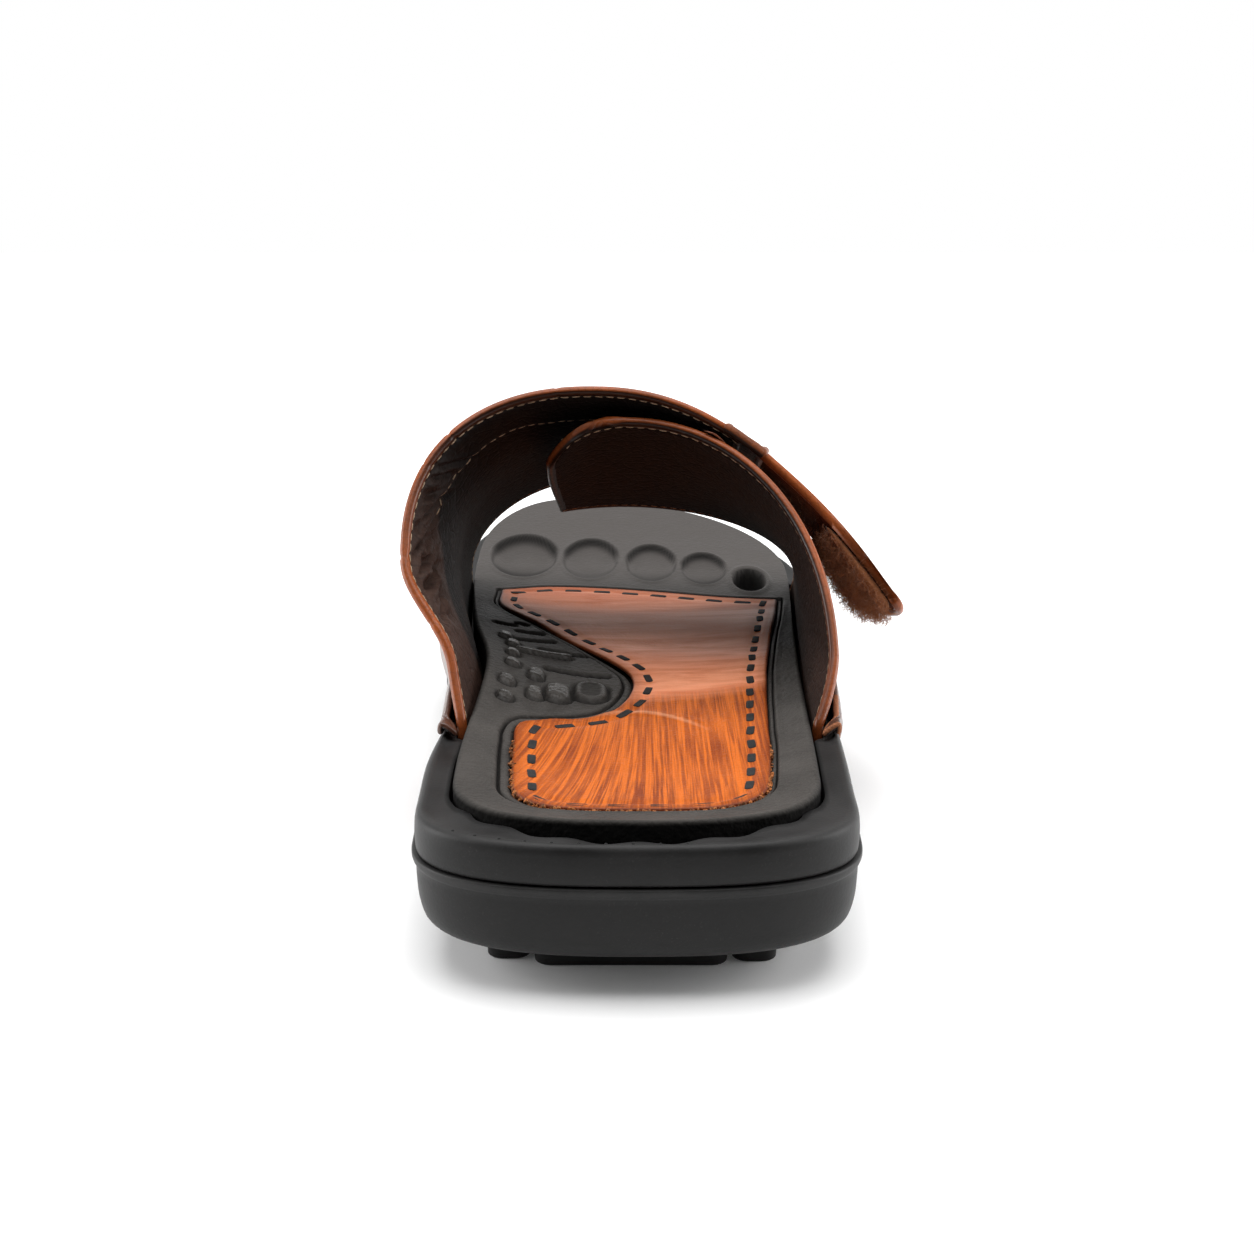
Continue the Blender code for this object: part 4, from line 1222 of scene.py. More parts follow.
def heel_leather(finish, look, drift):
    """Colour of the inlay's heel, orange with lengthwise streaks that fan out, and the streaks."""
    board = finish.board
    x, y = finish.along["X"], finish.along["Y"]
    fan = times(board, y, ranged(board, x, -0.026, 0.004, -0.28, 0.0))
    values = {"X": sums(board, "ADD", x, fan), "Y": y, "Z": finish.along["Z"]}
    run = board.add("ShaderNodeCombineXYZ", values).outputs[0]
    streaks = noise(board, stretched(board, run, (1.0, 0.020, 0.2)), 1300.0, 5.0, 0.66, 0.25)
    thin = noise(board, stretched(board, run, (1.0, 0.014, 0.2)), 2500.0, 3.0, 0.6, 0.15)
    streak, tan = look.streak_colour, look.tan_colour
    colour = mixed(board, ranged(board, streaks, 0.42, 0.57), solid(streak), solid(tan))
    colour = mixed(board, ranged(board, thin, 0.53, 0.66, 0.0, 0.8), colour, solid(streak, 0.7))
    colour = mixed(board, ranged(board, drift, 0.3, 0.7, 0.0, 0.35), colour, solid(tan, 1.25))
    return colour, streaks


def front_leather(finish, look):
    """Colour of the inlay's front, streaked across, pale with painted sheen but bare of it in a slanting
    orange band, darker towards the toe as painted shadow of the straps, and the streaks.
    """
    board = finish.board
    y = finish.along["Y"]
    streaks = noise(board, stretched(board, finish.place, (0.16, 1.0, 0.3)), 240.0, 5.0, 0.62, 0.9)
    band = [channel * share for channel, share in zip(look.front_and_sheen_colour, (0.78, 0.60, 0.40))]
    # pale pinkish front: partly the leather's own colour, partly painted sheen and painted light
    colour = mixed(board, ranged(board, streaks, 0.35, 0.65), solid(band), solid(look.front_and_sheen_colour, 1.15))
    # a slanting band without the painted sheen, in the heel's orange
    lean = sums(board, "ADD", y, times(board, finish.along["X"], 0.43))
    bare = (ranged(board, lean, 0.094, 0.106), ranged(board, lean, 0.108, 0.122, 1.0, 0.0))
    bare = sums(board, "MINIMUM", *bare)
    colour = mixed(board, times(board, bare, 0.8), colour, solid(look.tan_colour, 1.3))
    # painted shadow of the straps, darker towards the toe
    colour = mixed(board, ranged(board, y, 0.105, 0.135, 0.0, 0.6), colour, solid(look.streak_colour))
    return colour, streaks


def fold_highlight(finish):
    """How strongly the painted highlight, a pale line along the heel's fold, shows."""
    board = finish.board
    x, y = finish.along["X"], finish.along["Y"]
    away = sums(board, "ADD", x, 0.001)
    arc = sums(board, "ADD", y, times(board, times(board, away, away), 42.0))
    arc = sums(board, "ABSOLUTE", sums(board, "SUBTRACT", arc, 0.0368), 0.0)
    side = sums(board, "ABSOLUTE", sums(board, "SUBTRACT", x, 0.002), 0.0)
    line = ranged(board, arc, 0.0002, 0.0014, 0.32, 0.0)
    return times(board, line, ranged(board, side, 0.008, 0.015, 1.0, 0.0))


@once("waxed_tan_leather")
def inlay_finish(name, look):
    """Waxed tan leather, orange at the heel and brown with painted sheen in front, dark along its edge,
    with a painted highlight along the heel's fold and painted shadow of the straps towards the toe.
    """
    finish = Finish(name)
    board = finish.board
    gap = finish.number("gap")
    drift = noise(board, finish.place, 45.0, 3.0)
    fine = noise(board, finish.place, 2600.0, 2.0)
    # where the front begins: its colour with painted sheen, its coat and its crosswise streaks
    front = sums(board, "ADD", finish.along["Y"], times(board, drift, 0.006))
    front = sums(board, "SUBTRACT", front, times(board, finish.along["X"], 0.11))
    front = ranged(board, front, 0.0450, 0.0525)
    heel_colour, lengthwise = heel_leather(finish, look, drift)
    front_colour, crosswise = front_leather(finish, look)
    colour = mixed(board, front, heel_colour, front_colour)
    # painted highlight along the heel's fold
    colour = mixed(board, fold_highlight(finish), colour, (0.92, 0.50, 0.30, 1))
    colour = mixed(board, ranged(board, gap, 0.4, 3.4, 0.45, 0.0), colour, solid(look.streak_colour, 0.7))
    colour = mixed(board, ranged(board, gap, 0.1, 0.5, 0.8, 0.0), colour, solid(look.streak_colour, 0.6))
    colour = mixed(board, finish.specks(1500.0, 0.15), colour, (0.62, 0.42, 0.28, 1))
    normal = finish.bump(mixed(board, front, lengthwise, crosswise), 0.2, 0.2)
    normal = finish.bump(finish.grain(1300.0)["Height"], 0.3, 0.16, normal)
    return finish.set(
        Base_Color=colour,
        Roughness=ranged(board, fine, 0.3, 0.7, 0.40, 0.54),
        Specular_IOR_Level=0.2,
        Coat_Weight=times(board, front, ranged(board, crosswise, 0.35, 0.65, 0.02, 0.16)),
        Coat_Roughness=0.34,
        Normal=normal,
    )


def leather_finish(name, colour, shine, cell, depth, dusting, scuffing, coat=0.0, gloss=0.45):
    """Smooth leather with grain, a drawn, uneven tone and small scuffs, and painted shade: blacker where
    its mesh carries shade.
    """
    finish = Finish(name)
    board = finish.board
    # a random mottle of tone and relief
    shade = noise(board, finish.place, 55.0, 5.0, 0.6, 0.3)
    fine = noise(board, finish.place, 2400.0, 2.0)
    leather = finish.grain(cell)
    tone = toned(board, shade, 0.3, 0.7, colour, 0.7, 1.3)
    tone = mixed(board, times(board, leather["Crease"], 0.4), tone, solid(colour, 0.4))
    scuff = noise(board, stretched(board, finish.place, (1.0, 0.5, 1.6)), 260.0, 4.0, 0.7)
    tone = mixed(board, ranged(board, scuff, 0.62, 0.76, 0.0, scuffing), tone, solid(colour, 2.2))
    tone = mixed(board, finish.specks(1900.0, dusting), tone, solid(colour, 4.0))
    # painted shade from the shade numbers of the mesh
    tone = mixed(board, finish.number("shade"), tone, solid(colour, 0.05))
    normal = finish.bump(shade, 0.2, 0.8)
    normal = finish.bump(leather["Height"], depth, 0.25, normal)
    return finish.set(
        Base_Color=tone,
        Roughness=ranged(board, fine, 0.3, 0.7, shine, shine + 0.14),
        Specular_IOR_Level=gloss,
        Coat_Weight=coat,
        Coat_Roughness=0.18,
        Normal=normal,
    )


@once("chestnut_leather")
def chestnut_finish(name, look):
    """Outer side of the straps and the tab."""
    return leather_finish(name, look.chestnut_colour, 0.34, 1200.0, 0.35, dusting=0.2, scuffing=0.35)


@once("rolled_leather_edge")
def edge_finish(name, look):
    """Rolled edge of the straps and the tab."""
    colour = look.edge_colour
    return leather_finish(name, colour, 0.30, 1500.0, 0.18, dusting=0.05, scuffing=0.2, coat=0.2, gloss=0.2)


@once("lining_leather")
def lining_finish(name, look):
    """Inner side of the straps and the skirts."""
    colour = look.lining_colour
    return leather_finish(name, colour, 0.52, 760.0, 0.5, dusting=0.25, scuffing=0.25, gloss=0.13)


@once("dark_leather_trim")
def dark_finish(name, look):
    """Outer side of the skirts."""
    return leather_finish(name, look.dark_colour, 0.34, 1000.0, 0.4, dusting=0.2, scuffing=0.35, coat=0.3)


@once("keeper_leather")
def keeper_finish(name, look):
    """The keeper over the outer strap's end."""
    colour = look.keeper_colour
    return leather_finish(name, colour, 0.36, 1100.0, 0.35, dusting=0.1, scuffing=0.5, coat=0.04, gloss=0.2)


@once("tab_underside")
def underside_finish(name, look):
    """The rougher underside of the tab."""
    colour = look.keeper_colour
    return leather_finish(name, colour, 0.70, 900.0, 0.6, dusting=0.3, scuffing=0.6, gloss=0.08)


@once("raw_leather_edge")
def raw_edge_finish(name, look):
    """The lateral skirt's torn rear edge."""
    return leather_finish(name, look.raw_colour, 0.70, 1900.0, 0.6, dusting=0.4, scuffing=0.6)


def thread_finish(name, colour):
    """Twisted thread with darker turns."""
    finish = Finish(name)
    board = finish.board
    fibre = noise(board, finish.place, 3200.0, 2.0)
    soil = noise(board, finish.place, 140.0, 3.0)
    tone = toned(board, fibre, 0.35, 0.65, colour, 0.6, 1.2)
    tone = mixed(board, ranged(board, soil, 0.45, 0.75, 0.0, 0.6), tone, solid(colour, 0.35))
    return finish.set(
        Base_Color=tone,
        Roughness=ranged(board, soil, 0.3, 0.7, 0.7, 0.9),
        Specular_IOR_Level=0.3,
        Normal=finish.bump(fibre, 0.5, 0.12),
    )


@once("brown_loop_pile")
def pile_finish(name, look):
    """Brown brushed nylon, paler in tufts and at its lower end."""
    finish = Finish(name)
    board = finish.board
    tuft = noise(board, finish.place, 260.0, 4.0)
    fibre = noise(board, finish.place, 2200.0, 2.0)
    low = ranged(board, finish.along["Z"], 0.046, 0.066, 1.0, 0.0)
    tone = toned(board, tuft, 0.32, 0.68, look.pile_colour, 0.6, 1.5)
    tone = mixed(board, ranged(board, fibre, 0.52, 0.66, 0.0, 0.7), tone, solid(look.pile_colour, 2.6))
    tone = mixed(board, times(board, low, 0.6), tone, solid(look.pile_colour, 3.0))
    return finish.set(
        Base_Color=tone,
        Roughness=ranged(board, tuft, 0.3, 0.7, 0.6, 0.8),
        Specular_IOR_Level=0.15,
        Sheen_Weight=0.12,
        Sheen_Roughness=0.4,
        Normal=finish.bump(fibre, 0.3, 0.1),
    )


@once("cork_crumb")
def crumb_finish(name, look):
    """Crumbled cork and glue, orange with black grains."""
    finish = Finish(name)
    board = finish.board
    grains = noise(board, finish.place, 520.0, 3.0)
    fine = noise(board, finish.place, 2600.0, 2.0)
    tone = toned(board, grains, 0.46, 0.54, look.crumb_colour, 0.1, 1.0)
    tone = mixed(board, ranged(board, fine, 0.35, 0.65), tone, solid(look.crumb_colour, 0.4))
    return finish.set(
        Base_Color=tone,
        Roughness=ranged(board, fine, 0.3, 0.7, 0.75, 0.95),
        Normal=finish.bump(fine, 0.6, 0.3),
    )


# Pieces


def outsole_rings(look):
    """Loops of the outsole from its underside to its closing face, and how much rubbing and painted light
    grey each loop.
    """
    base_loop = outline(SOLE_INSET)
    y = base_loop[:, 1]
    seam = LAST.read("seam", y)
    rings = []
    wear_and_light = []
    for at in np.linspace(0, 1, 19):
        inset = float(OUTSOLE_WALL.read("inset", at))
        loop = outline(Inset(inset, inset, inset))
        rise = OUTSOLE_WALL.read("rise", at)
        base = LAST.read("base", loop[:, 1])
        top = LAST.read("seam", loop[:, 1]) - FLANGE[0][1]
        rings.append(raised(loop, base * (1 - rise) + top * rise))
        wear_and_light.append(0.25 * hump(at - 0.3, 0.1))
    reach = look.flange_reach / MM * (0.45 + 0.55 * smooth_step(y / 36))
    for share, below in FLANGE[1:]:
        rings.append(raised(pushed(base_loop, reach * share), seam - below))
        # the flange's lip: a painted highlight, with some rubbing
        wear_and_light.append(0.9 if share > 0.8 else 0.4)
    rings.append(raised(pushed(base_loop, -0.6), seam))
    rings.append(raised(pushed(base_loop, -5.0), seam))
    wear_and_light += [0, 0]
    return rings, wear_and_light


def build_outsole(look):
    """Lower half of the sole and the rounded tread blocks that it stands on."""
    rings, wear_and_light = outsole_rings(look)
    mesh = loft("outsole_shell", rings)
    add_values(mesh, "wear_and_light", np.repeat(wear_and_light, len(rings[0])))
    material = rubber_finish(look)
    finish_piece("outsole_shell", mesh, "sole_rubber", [material], "outsole")
    blocks = [(*lug, 3.0) for lug in HEEL_LUGS]
    pitch = (BAR_LAST_Y - BAR_FIRST_Y - BAR_LENGTH) / (BAR_COUNT - 1)
    inset = Inset(BAR_INSET, BAR_INSET, BAR_INSET)
    for rear in BAR_FIRST_Y + pitch * np.arange(BAR_COUNT):
        ends = np.array((rear, rear + BAR_LENGTH))
        left = edge_x(MEDIAL, ends, inset).max()
        right = edge_x(LATERAL, ends, inset).min()
        blocks.append((left, right, rear, rear + BAR_LENGTH, 2.2))
    bm = bmesh.new()
    for left, right, rear, front, corner in blocks:
        top = float(LAST.read("base", np.array((rear, front))).min()) + LUG_ROOT
        add_block(bm, (left, rear, 0.0), (right, front, top), corner)
    mesh = bpy.data.meshes.new("tread_blocks")
    bm.to_mesh(mesh)
    bm.free()
    mesh.shade_smooth()
    add_values(mesh, "wear_and_light", np.full(len(mesh.vertices), 0.12))
    finish_piece("tread_blocks", mesh, "sole_rubber", [material])


def add_block(bm, low, high, corner):
    """A tread block with rounded upright corners and soft lower edges."""
    low, high = np.array(low), np.array(high)
    made = bmesh.ops.create_cube(bm, size=1.0)["verts"]
    for vert in made:
        share = np.array(vert.co) + 0.5
        x, y, z = low + (high - low) * share
        taper = 0.05 * (high[2] - z)
        x += taper if share[0] < 0.5 else -taper
        vert.co = (np.array((x, y, z)) * MM + (0, HEEL_BACK_Y, 0)).tolist()
    edges = dict.fromkeys(edge for vert in made for edge in vert.link_edges)
    upright = [edge for edge in edges if abs(edge.verts[0].co.z - edge.verts[1].co.z) > 1e-4]
    rounded = bmesh.ops.bevel(bm, geom=upright, offset=corner * MM, segments=5, affect="EDGES", profile=0.5)
    corners = {vert for face in rounded["faces"] for vert in face.verts}
    floor = [edge for edge in bm.edges if max(vert.co.z for vert in edge.verts) < 1e-5]
    floor = [edge for edge in floor if not corners.isdisjoint(edge.verts)]
    bmesh.ops.bevel(bm, geom=floor, offset=0.4 * MM, segments=3, affect="EDGES", profile=0.5)


def prick_rim(wall, rim):
    """A row of pinholes along the heel's rim, as small marks of a black material: painted shadow."""
    offset = loop_offsets(wall)
    near = (offset > PINHOLE_SPAN[0]) & (offset < PINHOLE_SPAN[1])
    spots = raised(pushed(wall, -PINHOLE_INSET), rim)[near][np.argsort(offset[near])]
    up = np.tile((0.0, -0.2, 0.98), (len(spots), 1))
    values = {
        "Pitch": PINHOLE_PITCH * MM,
        "Size": tuple(side * MM for side in PINHOLE_SIZE),
        "Boxiness": 0.0,
        "Detail": 1,
        "Lean": (0.0, 0.0, 1.0),
        "Material": thread_finish("pinhole_shadow", (0.003, 0.003, 0.003)),
    }
    source = path_mesh("pinhole_path", [(spots, up)])
    grow_piece("rim_pinholes", "sole_rubber", source, stitch_tree(), values)


def build_midsole(look):
    """Upper half of the sole: a cup with a rolled rim and a scalloped groove at the heel."""
    wall = outline(SOLE_INSET)
    y = wall[:, 1]
    seam = LAST.read("seam", y)
    rim = LAST.read("rim", y)
    wall = let_out(wall, -COVER_REBATE * within(COVER_ZONE_Y, COVER_ZONE_BLEND, y))
    rows = [(inset, seam + rise, rubbed_and_lit) for inset, rise, rubbed_and_lit in CUP_FOOT]
    foot = rows[-1][1]
    for share in (0.25, 0.5, 0.75):
        swell = -CUP_SWELL * math.sin(math.pi * share)
        rows.append((swell, foot + (rim - RIM_ROLL[0][1] - foot) * share, 0.0))
    # the rim's rounded top: lightened partly by rubbing, partly as painted light from above
    rows += [(inset, rim - below, 0.9 if below < 1.0 else 0.2) for inset, below in RIM_ROLL]
    rings = [raised(pushed(wall, -inset), z) for inset, z, _ in rows]
    wear_and_light = [rubbed_and_lit for _, _, rubbed_and_lit in rows]
    groove = outline(GROOVE_INSET)
    offset = loop_offsets(groove)
    phase = (offset / (look.scallop_pitch / MM) + 0.5) % 1 - 0.5
    lens = np.cos(phase * math.pi) ** 2 * smooth_step((SCALLOP_REACH - np.abs(offset)) / SCALLOP_FADE)
    slot = STRAP_THICK + 2 * GAP - SLOT_SHARED
    groove = let_out(groove, slot * within(STRAP_ZONE_Y, STRAP_ZONE_BLEND, groove[:, 1]))
    edge = pushed(groove, -look.scallop_depth / MM * lens)
    top = pushed(wall, -RIM_ROLL[-1][0])
    for share in (0.2, 0.4, 0.6, 0.8, 1.0):
        z = rim - RIM_DROP * (1 - (1 - share) ** 1.8)
        rings.append(raised(top + (edge - top) * share, z))
        # the rim's bevel: lightened partly by rubbing, partly as painted light from above
        wear_and_light.append(1.0)
    deeper = pushed(groove, -0.2)
    for share, fall in GROOVE_FALL:
        rings.append(raised(edge + (deeper - edge) * share, rim - RIM_DROP - fall))
        wear_and_light.append(0.0)
    rings.append(raised(deeper, seam + FLOOR_RISE))
    rings.append(raised(pushed(deeper, -2.0), seam + FLOOR_RISE))
    wear_and_light += [0, 0]
    mesh = loft("midsole_cup", rings)
    add_values(mesh, "wear_and_light", np.repeat(wear_and_light, len(wall)))
    finish_piece("midsole_cup", mesh, "sole_rubber", [rubber_finish(look)], "midsole")
    prick_rim(wall, rim)


def footbed_loops():
    """The inlay's outline and the footbed's edge as two loops of paired points."""
    right = side_run(LATERAL, FOOTBED_INSET)
    left = side_run(MEDIAL, FOOTBED_INSET)
    right_y, left_y = right[:, 1], left[:, 1]
    rear = np.concatenate((left[left_y <= FOOTBED_REAR_Y][::-1], right[right_y <= FOOTBED_REAR_Y][1:]))
    lateral = right[(right_y >= FOOTBED_REAR_Y) & (right_y <= FOOTBED_LATERAL_Y)]
    front = (right[right_y >= FOOTBED_LATERAL_Y], left[left_y >= FOOTBED_MEDIAL_Y][-2::-1])
    medial = left[(left_y >= FOOTBED_REAR_Y) & (left_y <= FOOTBED_MEDIAL_Y)][::-1]
    loops = []
    for runs in (inlay_sides(), (rear, lateral, np.concatenate(front), medial)):
        evened = [resample(run, count)[:-1] for run, count in zip(runs, FOOTBED_COUNTS)]
        loops.append(np.concatenate(evened))
    return loops


def build_footbed(look):
    """Moulded foam insole with its toe hollows, arch pebbles and the channel of its inlay."""
    inner, outer = footbed_loops()
    wave = 0.22 * np.sin(outer[:, 0] * 0.21 + 0.6) + 0.12 * np.sin(outer[:, 0] * 0.47 + 1.0)
    outer = pushed(outer, wave * (1 - smooth_step((outer[:, 1] - 14) / 14)) - 0.1)
    length = np.linalg.norm(outer - inner, axis=1)
    near = np.concatenate(((-0.9, -0.3), np.arange(0.05, 4.2, 0.17)))
    far = np.array(FOOTBED_EDGE)
    rows = [np.full(len(inner), distance) for distance in near]
    for share in np.linspace(0, 1, 76)[1:-1] ** 1.25:
        rows.append(near[-1] + (length - far[0] - near[-1]) * share)
    rows += [length - distance for distance in far]
    plan = [inner + (outer - inner) * (row / length)[:, None] for row in rows]
    flat = np.concatenate(plan)
    x, y = flat.T
    gap = loop_distance(flat, inlay_loop())
    at_heel = smooth_step((-14 - x) / 8) * (1 - smooth_step((y - 62) / 16))
    at_arch = smooth_step((8 - x) / 10) * within((66, 150), 12, y)
    at_gap = gap / (0.62 + 0.62 * at_heel + 0.36 * at_arch)
    clear = smooth_step((gap - 1.2) / 1.2)
    toes, toe_shade = toe_relief(x, y)
    arch, arch_shade, polish = arch_relief(x, y)
    z = footbed_dish(x, y) + np.interp(at_gap, *np.array(CHANNEL).T) + (toes + arch) * clear
    # painted shade: the toe dishes, the arch's moats and slots, the crack in the channel beside the inlay,
    # and under the inlay's edge
    shade = np.maximum(toe_shade, arch_shade) * clear
    shade = np.maximum(shade, 0.9 * hump(at_gap - CRACK_PLACE, CRACK_WIDTH))
    shade = np.maximum(shade, 0.9 * smooth_step((0.7 - at_gap) / 0.5))
    z = z.reshape(len(rows), -1)
    shade = shade.reshape(len(rows), -1)
    radius = far[0]
    # painted shade that darkens the footbed's rounded edge towards the groove
    for k, distance in enumerate(far):
        z[len(rows) - len(far) + k] -= radius - math.sqrt(max(0, radius**2 - (radius - distance) ** 2))
        shade[len(rows) - len(far) + k] = k / (len(far) - 1)
    rings = [np.column_stack((points, heights)) for points, heights in zip(plan, z)][::-1]
    seam = LAST.read("seam", outer[:, 1])
    bottom = raised(outer, seam + FLOOR_RISE + GAP)
    wall = raised(outer, (rings[0][:, 2] + bottom[:, 2]) / 2)
    floor = raised(inner + (inner.mean(axis=0) - inner) * 0.02, FOOTBED_FLOOR_Z)
    mesh = loft("footbed_top", [bottom, wall, *rings, floor], level_caps=True)
    # painted shade: the footbed's side wall, its bottom and the floor under the inlay are shaded black
    black = np.ones((1, len(inner)))
    add_values(mesh, "shade", np.concatenate((black, black, shade[::-1], black)))
    plain = np.zeros((1, len(inner)))
    polish = (polish * clear).reshape(len(rows), -1)
    add_values(mesh, "polish", np.concatenate((plain, plain, polish[::-1], plain)))
    finish_piece("footbed_top", mesh, "footbed_foam", [foam_finish(look)], "footbed")


def inlay_height(x, y):
    """Height of the inlay's upper face, with the fold across its heel."""
    fold = 0.32 * hump(y - INLAY_FOLD.read("y", x), 0.9)
    fold = fold * smooth_step((x + 23) / 4) * smooth_step((17 - x) / 4)
    for place, width, rise in INLAY_WAVES:
        fold = fold + rise * hump(y + 0.10 * x - place, width) * smooth_step((x + 38) / 16)
    return footbed_dish(x, y) + INLAY_LIFT + fold


def sew_inlay(look):
    """Stitches inside the inlay's edge, nearer to it at the heel."""
    sides = inlay_sides()
    loop = resample(np.concatenate((*sides, sides[0][:1])), 420)[:-1]
    rear = 1 - smooth_step((loop[:, 1] - INLAY_REAR_Y - 3) / 8)
    inward = pushed(loop, SEWN_INSET * (rear / 2 - 1))
    for _ in range(6):
        inward = (np.roll(inward, 1, axis=0) + 2 * inward + np.roll(inward, -1, axis=0)) / 4
    inward = np.concatenate((inward, inward[:1]))
    x, y = inward.T
    step = 0.5
    slope_x = (inlay_height(x + step, y) - inlay_height(x - step, y)) / (2 * step)
    slope_y = (inlay_height(x, y + step) - inlay_height(x, y - step)) / (2 * step)
    up = np.column_stack((-slope_x, -slope_y, np.ones(len(x))))
    path = np.column_stack((inward, inlay_height(x, y) - SEWN_SINK))
    values = {
        "Pitch": look.inlay_pitch,
        "Size": (look.inlay_stitch, 1.8 * MM, 0.55 * MM),
        "Boxiness": 0.7,
        "Detail": 2,
        "Lean": (0.02, 0.03, 0.09),
        "Material": thread_finish("charcoal_thread", look.charcoal_colour),
    }
    source = path_mesh("inlay_path", [(path, up)])
    grow_piece("inlay_stitches", "dark_leather", source, stitch_tree(), values)


def crumble_cork(look):
    """Cork crumbs that show along the inlay's rear edge."""
    rear, lateral, _, medial = inlay_sides()
    edge = np.concatenate((medial[-CRUMB_SIDE_POINTS:], rear, lateral[:CRUMB_SIDE_POINTS]))
    edge = resample(edge, 160)
    path = np.column_stack((edge - (0.0, 0.45), footbed_dish(*edge.T) - 0.5))
    up = np.tile((0.0, 0.0, 1.0), (len(path), 1))
    values = {
        "Pitch": 0.32 * MM,
        "Scatter": (0.5 * MM, 0.5 * MM, 0.45 * MM),
        "Smallest": (0.15 * MM, 0.15 * MM, 0.12 * MM),
        "Largest": (0.8 * MM, 0.6 * MM, 0.5 * MM),
        "Material": crumb_finish(look),
    }
    source = path_mesh("crumb_path", [(path, up)])
    grow_piece("cork_crumbs", "tan_leather", source, crumb_tree(), values)


def build_inlay(look):
    """Tan leather of the footbed, sewn down round its edge."""
    along = graded_run(INLAY_STEPS, INLAY_LENGTH, 130)
    ends = [inlay_plan(along, np.full(len(along), side)) for side in (0.0, 1.0)]
    across = graded(INLAY_STEPS, np.linalg.norm(ends[1] - ends[0], axis=1), 56)
    plan = inlay_plan(np.broadcast_to(along[:, None], across.shape), across)
    flat = plan.reshape(-1, 2)
    gap = np.maximum(0, -loop_distance(flat, inlay_loop())).reshape(across.shape)
    z = inlay_height(*flat.T).reshape(across.shape) - SEWN_DIP * hump(gap - SEWN_INSET, SEWN_WIDTH)
    sheet = Sheet(np.concatenate((plan, z[..., None]), axis=-1), INLAY_THICK, -1)
    gap[[0, -1]] = 0
    gap[:, [0, -1]] = 0
    sheet.gap = gap
    mesh = sheet.mesh("inlay_leather", INLAY_BEAD, 0.0)
    finish_piece("inlay_leather", mesh, "tan_leather", [inlay_finish(look)], "footbed_inlay")
    sew_inlay(look)
    crumble_cork(look)


def crease_lining(sheet):
    """Presses creases into the lining, each a soft trough with raised lips, rucks the leather
    between them, and paints shade on it: darker towards the crown, near black beyond its seam."""
    for crease in LINING_CREASES:
        miss = np.abs(sheet.place - crease.place) + 4 * np.abs(sheet.share - crease.share)
        row, column = np.unravel_index(miss.argmin(), miss.shape)
        along = sheet.along - sheet.along[row, column]
        across = sheet.across - sheet.across[row, column]
        turn = math.radians(crease.turn)
        run = across * math.cos(turn) + along * math.sin(turn)
        off = along * math.cos(turn) - across * math.sin(turn)
        off = off + 0.9 * np.sin(run * 0.45 + crease.place * 40)
        fade = smooth_step((crease.length - np.abs(run)) / (crease.length * 0.7))
        trough = -hump(off, crease.width) + 0.75 * hump(np.abs(off) - 1.9 * crease.width, crease.width)
        sheet.lining_relief += crease.depth * trough * fade
    seam = LINING_SEAM.read("share", sheet.place)
    rucked = within(RUCK_ZONE, RUCK_BLEND, sheet.place) * smooth_step((seam - sheet.share) / 0.03)
    mathutils.noise.seed_set(RUCK_SEED)
    for row, column in zip(*np.nonzero(rucked > 0.02)):
        spot = mathutils.Vector(sheet.middle[row, column] / RUCK_SIZE)
        bend = mathutils.noise.noise_vector(spot * 0.45)
        ruck = mathutils.noise.ridged_multi_fractal(spot + bend * 1.1, 1.0, 2.1, 3, 0.9, 2.0) - 1.1
        sheet.lining_relief[row, column] -= RUCK_DEPTH * rucked[row, column] * max(-0.5, min(1.1, ruck))
    sewn = within(SEAM_SEWN, 0.1, sheet.place)
    sheet.lining_relief += 0.3 * smooth_step((seam - sheet.share) / 0.006) * sewn
    sheet.lining_relief *= smooth_step((sheet.gap - 2.4) / 2.0)
    # painted shade: the lining is blackened beyond its seam and darkens towards the crown
    panel = smooth_step((sheet.share - seam) / 0.012)
    sheet.shade = np.maximum(0.97 * smooth_step((sheet.place - 1.90) / 0.60), 0.97 * panel)


def nick_edge(sheet):
    """Small dents across the rolled rear edge."""
    for place, width, depth in EDGE_NICKS:
        row = np.abs(sheet.place[:, 0] - place).argmin()
        along = sheet.along - sheet.along[row : row + 1]
        dent = depth * hump(along - 0.3 * sheet.across, width) * (sheet.across < 3.2)
        sheet.relief -= dent
        sheet.lining_relief -= dent


def strap_stitches(sheet, bead):
    """Paths of the thread beside both long edges, on the outer side and on the lining."""
    outer, inner = sheet.sides(bead)
    seen = sheet.place[:, 0] > 1.05
    paths = []
    for column in (STITCH_STEP, -1 - STITCH_STEP):
        kept = seen & (sheet.gap[:, column] > 1.7)
        paths.append((inner[kept, column], -sheet.out[kept, column]))
        paths.append((outer[kept, column], sheet.out[kept, column]))
    return paths


def lining_seam(sheet, bead):
    """Path of the thread along the seam of the outer strap's lining."""
    spots = []
    for place in np.linspace(*SEAM_SEWN, 120):
        row = np.abs(sheet.place[:, 20] - place).argmin()
        column = np.abs(sheet.share[row] - LINING_SEAM.read("share", place)).argmin()
        spots.append((row, column))
    rows, columns = np.array(list(dict.fromkeys(spots))).T
    return sheet.sides(bead)[1][rows, columns], -sheet.out[rows, columns]


